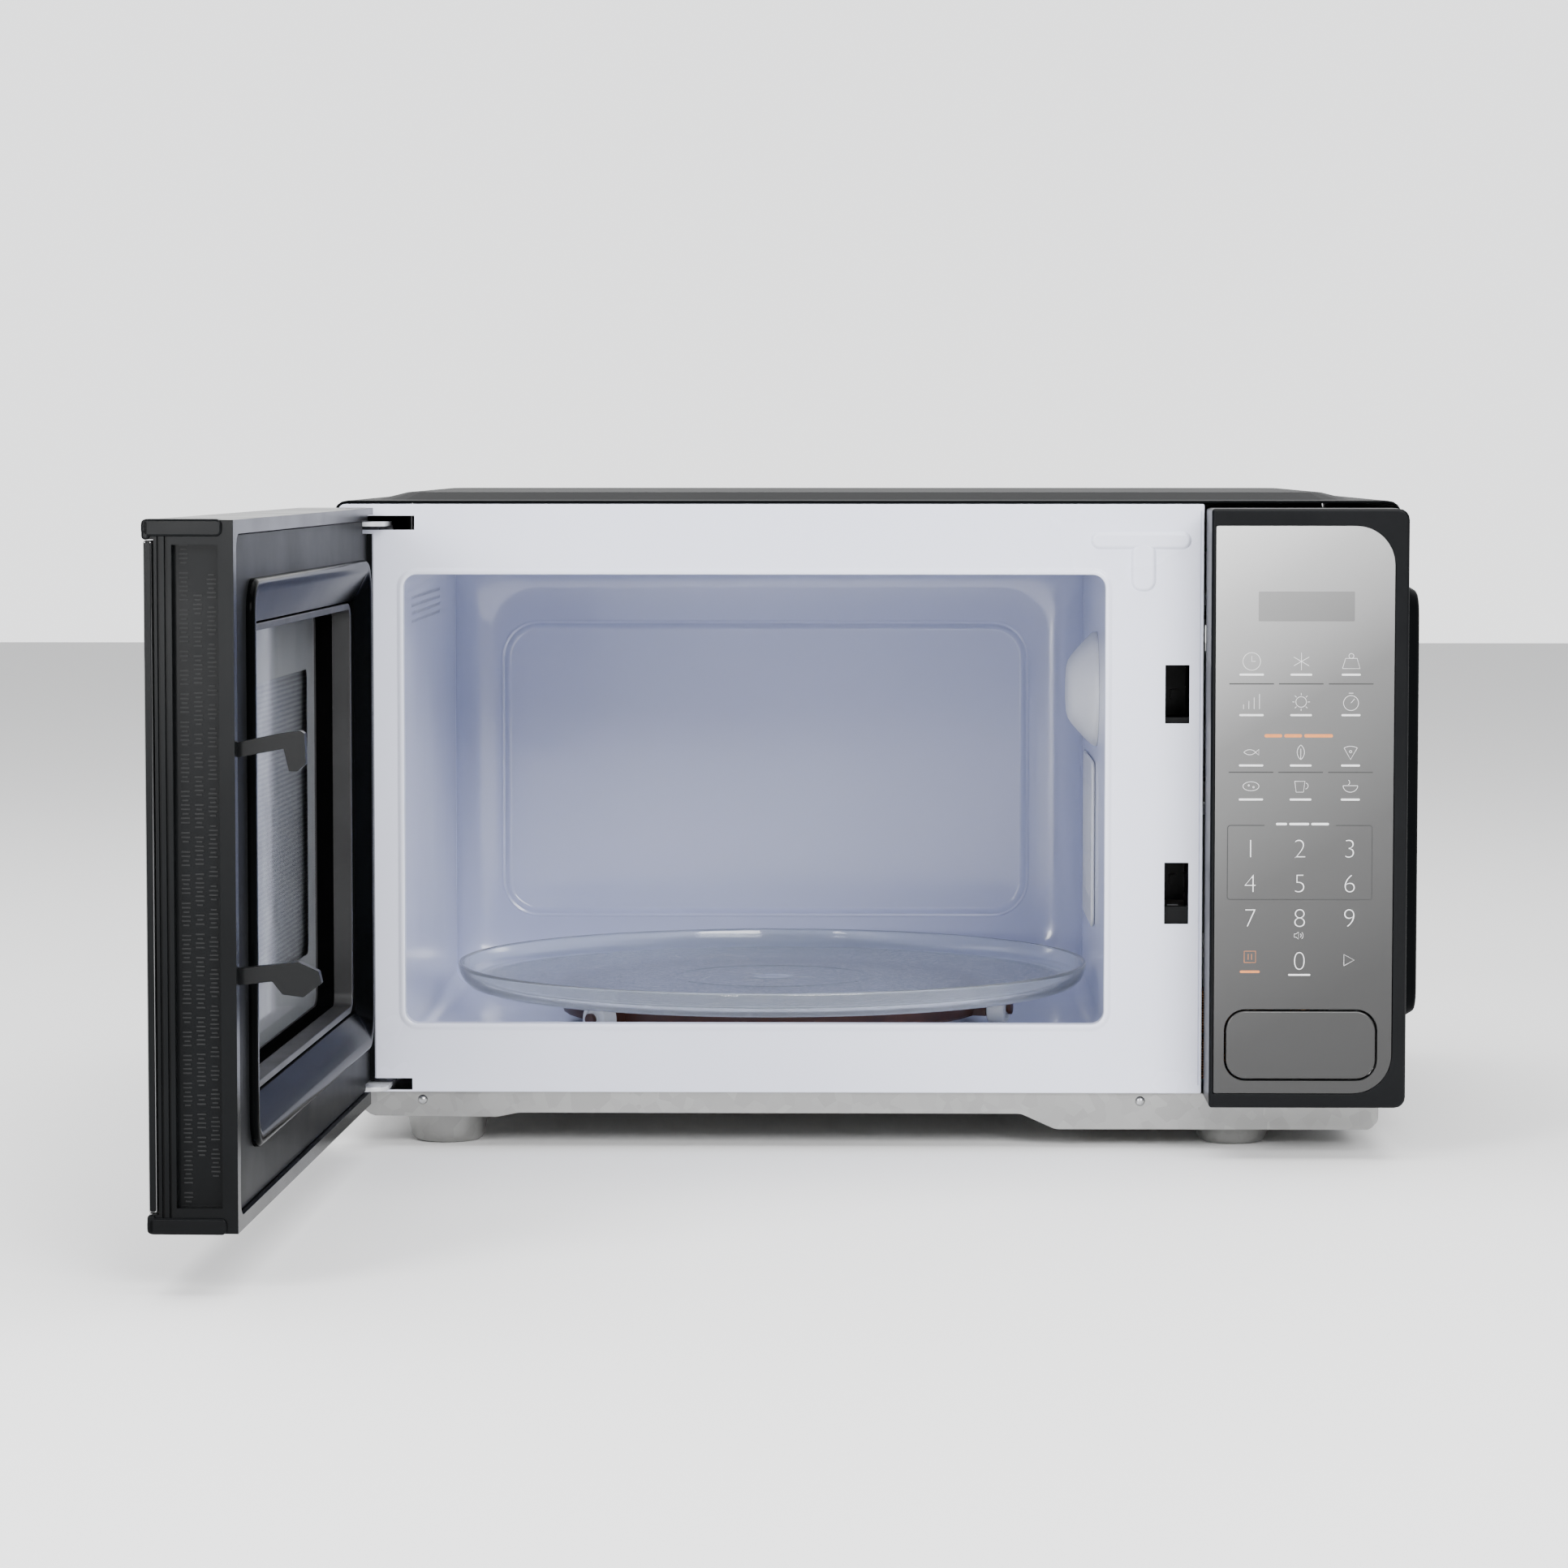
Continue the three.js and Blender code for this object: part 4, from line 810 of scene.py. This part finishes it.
MARK_ROWS = ((36, 284), (54, 266), (46, 275))        # where each row starts and stops
FIRST_ROW, ROW_PITCH = -22.2, 5.3                    # depth of the first row, and from row to row
STROKE_PITCH, GROUP_GAP = 1.7, 2.2                   # along a row


def door_piece(name, bm, mat, replaces=()):
    return make(name, bm, mat, "door", replaces, SHUT_TO_REST)


def spring():
    """The latch's coil, a still helix in the CAD spring's box; the real coil shortens towards its upper seat
    as the hooks rise.
    """
    x, y, z = shut_box("latch_spring")
    wire, turns, steps, sides = 0.5, 5, 160, 8
    middle = ((x[0] + x[1]) / 2, (y[0] + y[1]) / 2)
    reach = (x[1] - x[0]) / 2 - wire
    low, high = z[0] + wire, z[1] - wire
    bm = bmesh.new()
    rings = []
    for step in range(steps + 1):
        turn = 2 * math.pi * turns * step / steps
        ring = []
        for side in range(sides):
            around = 2 * math.pi * side / sides
            out = reach + wire * math.cos(around)
            ring.append(bm.verts.new(at(middle[0] + out * math.cos(turn), middle[1] + out * math.sin(turn),
                                        low + (high - low) * step / steps + wire * math.sin(around))))
        rings.append(ring)
    for near, far in zip(rings, rings[1:]):
        for side in range(sides):
            nxt = (side + 1) % sides
            bm.faces.new((near[side], near[nxt], far[nxt], far[side]))
    bm.faces.new(rings[0])
    bm.faces.new(reversed(rings[-1]))
    bmesh.ops.recalc_face_normals(bm, faces=bm.faces)
    coil = door_piece("latch_coil", bm, SPRING_STEEL, ["latch_spring"])
    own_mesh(coil)


def channel_marks():
    """Three moulded rows of plain upright strokes, in groups, along the door's free end."""
    marks = bmesh.new()
    for row, (start, stop) in enumerate(MARK_ROWS):
        z, count = start, 0
        while z < stop:
            for stroke in range(3 + (5 * count + 2 * row) % 6):
                tall = 3.4 if (stroke + count) % 3 else 2.3
                spot = Matrix.Translation(at(149.7, FIRST_ROW + ROW_PITCH * row, z))
                size = Matrix.Diagonal((0.9 * MM, tall * MM, 0.6 * MM, 1))
                bmesh.ops.create_cube(marks, size=1, matrix=spot @ size)
                z += STROKE_PITCH
            z += GROUP_GAP
            count += 1
    return marks


def door_window():
    """The inner cover's border, the raised bead, the recess down to the screen and the film's edge."""
    opening = inset(BEAD, 2)
    border = loft([(COVER, -7.3)] + quarter(COVER, -4.6, 0.5, -1) + [(opening, -4.6), (opening, -7.3)],
                  loop=True)
    holes = [block((138.5, 148.5), (-12, 2), z) for z in HOOK_ROOMS]
    rooms = [turned([(0, low), (HINGE_REACH, low), (HINGE_REACH, high), (0, high)],
                    Vector((PIN.x, PIN.y, 0)), 32) for low, high in HINGE_ROOMS]
    door_piece("door_inner_border", carved(border, *holes, *rooms), DOOR_SATIN,
               ["door_inner_cover"])
    bead = [(BEAD, -7), (BEAD, -3.8)] + quarter(BEAD, CREST, 2.2, -1, 6)
    bead += stepped(BEAD, (4.5, CREST), (6.0, CREST - 0.6), (16.5, -6.8), (18.0, -7.6), (18.4, -8.8))
    door_piece("door_bead", loft(bead, loop=True), GLOSS_BLACK)
    recess = stepped(BEAD, (18.1, -8.95))
    recess += stepped(WINDOW, (-3.6, -9.2), (-2.4, -9.6), (-2.2, -15.5), (-1.2, -16.2), (0.3, -16.4),
                      (0.35, -23.8), (-0.4, -23.8), (-3.6, -11))
    door_piece("window_recess", loft(recess, loop=True), RECESS_BLACK)
    film = -24.75
    door_piece("film_border", surround(inset(WINDOW, 0.4), PANE, film, film + 0.12), FILM_BORDER)


def door():
    polished("door_frame", DOOR_FRAME_BLACK, "door", soft=0.45, arc=0.6, steps=3)
    polished("door_glass", DOOR_MIRROR, "door", soft=0.9, arc=0.6, steps=3)
    door_piece("glass_window_tint", plate(TINT, -36.9, -37.04, 0.02), TINTED_GLASS)
    polished("door_choke_frame", CHOKE_PAINT, "door", soft=0.5, arc=1.5)
    polished("door_screen", SCREEN, "door", soft=0.0)
    polished("door_film", WINDOW_FILM, "door", soft=0.0)
    door_window()
    for end, (z, hook) in END_CAPS.items():
        shapes = (((-37.5, -6.5), z, 2.4), ((-37.4, -34.2), hook, 1.5))
        cap = [loft([(shape, CAP_DEPTHS[0])] + quarter(shape, CAP_DEPTHS[1], 0.9, -1), "side")
               for shape in shapes]
        door_piece(f"door_end_cap_{end}", merged(*cap), DOOR_FRAME_BLACK)
    # The strokes are painted lighter than the plastic round them: painted sheen.
    door_piece("channel_marks", channel_marks(), EMBOSSED_SHEEN)
    paint = plate(GLASS_EDGE, 154.3, 154.72, 0.2, "side")
    door_piece("glass_edge_paint", paint, DOOR_FRAME_BLACK)
    polished("latch_bar", SATIN_BLACK, "latch", soft=0.6, arc=0.5, steps=3)
    spring()
    for node in ("upper_hinge_plate", "lower_hinge_plate"):
        polished(node, HINGE_STEEL, CABINET, soft=0.3, arc=0.8)


# ---------------------------------------------------------------- turntable
TRAY_UNDERSIDE = [(0, 56.6), (52, 56.6), (53, 56.3), (54, 56.6), (143, 56.6), (148.6, 56.9), (152.4, 58.2),
                  (155.0, 60.8), (156.6, 64.2), (157.4, 67.4)]
TRAY_UPPER = [(154.5, 66.2), (153.4, 63.4), (151.6, 61.6), (149.8, 60.9), (148.8, 61.4), (147.6, 60.8),
              (143, 60.6), (50, 60.6), (49, 60.9), (48, 60.6), (0, 60.6)]
RING_HOOP = [(93.8, 45.4), (94.8, 44.4), (104.2, 44.4), (105.2, 45.4), (105.2, 51.2), (104.2, 52.2),
             (94.8, 52.2), (93.8, 51.2), (93.8, 45.4)]
WHEEL_TREAD = [(2.5, -4.5), (6.9, -4.5), (7.7, -4.1), (8.0, -3.3), (8.0, 3.3), (7.7, 4.1), (6.9, 4.5),
               (5.6, 4.5), (5.2, 3.6), (3.6, 3.6), (3.3, 4.5), (2.5, 4.5), (2.5, -4.5)]


def glass_tray(middle):
    """The dish, with a round rim, and three ridges under its centre that the coupler turns."""
    rim = [(156.2 + 1.2 * math.cos(a), 68.0 + 1.1 * math.sin(a)) for a in
           (math.radians(180 * i / 8) for i in range(9))]
    dish = turned(TRAY_UNDERSIDE + rim + TRAY_UPPER, middle, 160)
    ridges = []
    for number in range(3):
        ends, waist = ((12.5, 21), (53.6, 57), 0.8), ((12.3, 21.2), (53.4, 57), 1.0)
        ridge = loft([(ends, -3.0), (waist, 0), (ends, 3.0)])
        turn = (Matrix.Translation(middle) @ Matrix.Rotation(math.radians(120 * number), 4, "Z")
                @ Matrix.Translation(-HOME))
        bmesh.ops.transform(ridge, matrix=turn, verts=ridge.verts)
        ridges.append(ridge)
    tray = merged(dish, *ridges)
    make("glass_tray_surface", tray, TRAY_GLASS, "glass_tray", ["glass_tray"])


def turntable():
    x, y, _ = mm_box("glass_tray")
    middle = at((x[0] + x[1]) / 2, (y[0] + y[1]) / 2, 0)
    glass_tray(middle)
    polished("roller_ring", BROWN_PLASTIC, "roller_ring", soft=0.5, arc=0.8)
    make("roller_hoop", turned(RING_HOOP, middle, 128), BROWN_PLASTIC, "roller_ring")
    for number in range(1, 4):
        node = f"roller_wheel_{number}"
        lo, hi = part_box(node)
        spot = (lo + hi) / 2
        heading = math.atan2(spot.y - middle.y, spot.x - middle.x)
        tilt = Matrix.Rotation(heading, 4, "Z") @ Matrix.Rotation(math.pi / 2, 4, "Y")
        wheel = turned(WHEEL_TREAD, spot, 64, tilt)
        make(node + "_surface", wheel, WHITE_PLASTIC, node, [node])
    polished("drive_coupler", WHITE_PLASTIC, "drive_coupler", soft=0.4)


# ---------------------------------------------------------------- inside the case, in the CAD's own shapes
HIDDEN = {
    "display_module": SATIN_BLACK, "control_board": BOARD_GREEN, "latch_board": SATIN_BLACK,
    "primary_switch": SATIN_BLACK, "secondary_switch": SATIN_BLACK, "monitor_switch": SATIN_BLACK,
    "release_lever": WHITE_PLASTIC, "magnetron": STEEL, "air_duct": SATIN_BLACK, "transformer_core": STEEL,
    "primary_winding": COPPER, "secondary_winding": COPPER, "capacitor": STEEL, "diode": SATIN_BLACK,
    "fan_shroud": WHITE_PLASTIC, "fan_blade": WHITE_PLASTIC, "fan_motor": STEEL,
    "lamp_holder": WHITE_PLASTIC, "lamp_bulb": LAMP_GLASS, "filter_board": BOARD_GREEN,
    "thermal_cutout": STEEL, "turntable_motor": STEEL,
}

case_and_pan()
face_frame()
cavity()
control_panel()
door()
turntable()
for node, mat in HIDDEN.items():
    frame["nodes"][node].data.materials[0] = mat


# ---------------------------------------------------------------- camera, light and floor
FLOOR_REACH = 6.0
DARK_SIDE, BRIGHT_SIDE = 0.22, 2.2                   # the room's strength in front and behind
LENS = 111.9
CAMERA = (0, -2250, 323.6)
LOOKS_DOWN, LOOKS_LEFT = 3.91, 0.97                  # degrees


def area_light(name, spot, aim, size, power):
    data = bpy.data.lights.new(name, "AREA")
    data.shape = "RECTANGLE"
    data.size, data.size_y = size
    data.energy = power
    lamp = bpy.data.objects.new(name, data)
    lamp.location = spot
    lamp.rotation_euler = (Vector(aim) - Vector(spot)).to_track_quat("-Z", "Y").to_euler()
    bpy.context.scene.collection.objects.link(lamp)


def studio():
    floor_mesh = bpy.data.meshes.new("floor")
    corners = [(x * FLOOR_REACH, y * FLOOR_REACH, 0) for x, y in ((-1, -1), (1, -1), (1, 1), (-1, 1))]
    floor_mesh.from_pydata(corners, [], [(0, 1, 2, 3)])
    floor = bpy.data.objects.new("floor", floor_mesh)
    bpy.context.scene.collection.objects.link(floor)
    mat, _, shader = material("floor_white")
    shader.inputs["Base Color"].default_value = (0.94, 0.94, 0.94, 1)
    shader.inputs["Roughness"].default_value = 0.9
    floor_mesh.materials.append(mat)

    world = bpy.data.worlds.new("studio")
    bpy.context.scene.world = world
    world.use_nodes = True
    tree = world.node_tree
    tree.nodes["Background"].inputs["Color"].default_value = (0.985, 0.99, 1, 1)
    coords = add(tree, "ShaderNodeTexCoord")
    split = add(tree, "ShaderNodeSeparateXYZ")
    tree.links.new(coords.outputs["Generated"], split.inputs["Vector"])
    tree.links.new(remap(tree, split.outputs["Y"], DARK_SIDE, BRIGHT_SIDE, -0.1, 0.75),
                   tree.nodes["Background"].inputs["Strength"])
    area_light("top_softbox", (0.0, 0.0, 2.0), (0, 0.1, 0), (2.4, 2.0), 62)
    area_light("front_softbox", (0.95, -2.45, 1.35), (0, 0.1, 0.15), (1.4, 1.0), 84)
    area_light("left_softbox", (-1.7, -2.2, 1.3), (0.1, 0.1, 0.15), (1.0, 1.2), 72)
    area_light("door_end_card", (-0.61, -2.3, 0.24), (-0.24, -0.39, 0.27), (0.3, 0.16), 8)

    data = bpy.data.cameras.new("camera")
    data.lens = LENS
    data.sensor_width = 36
    data.clip_end = 50
    camera = bpy.data.objects.new("camera", data)
    camera.location = at(*CAMERA)
    camera.rotation_euler = (math.radians(90 - LOOKS_DOWN), 0, math.radians(LOOKS_LEFT))
    bpy.context.scene.collection.objects.link(camera)
    bpy.context.scene.camera = camera


studio()
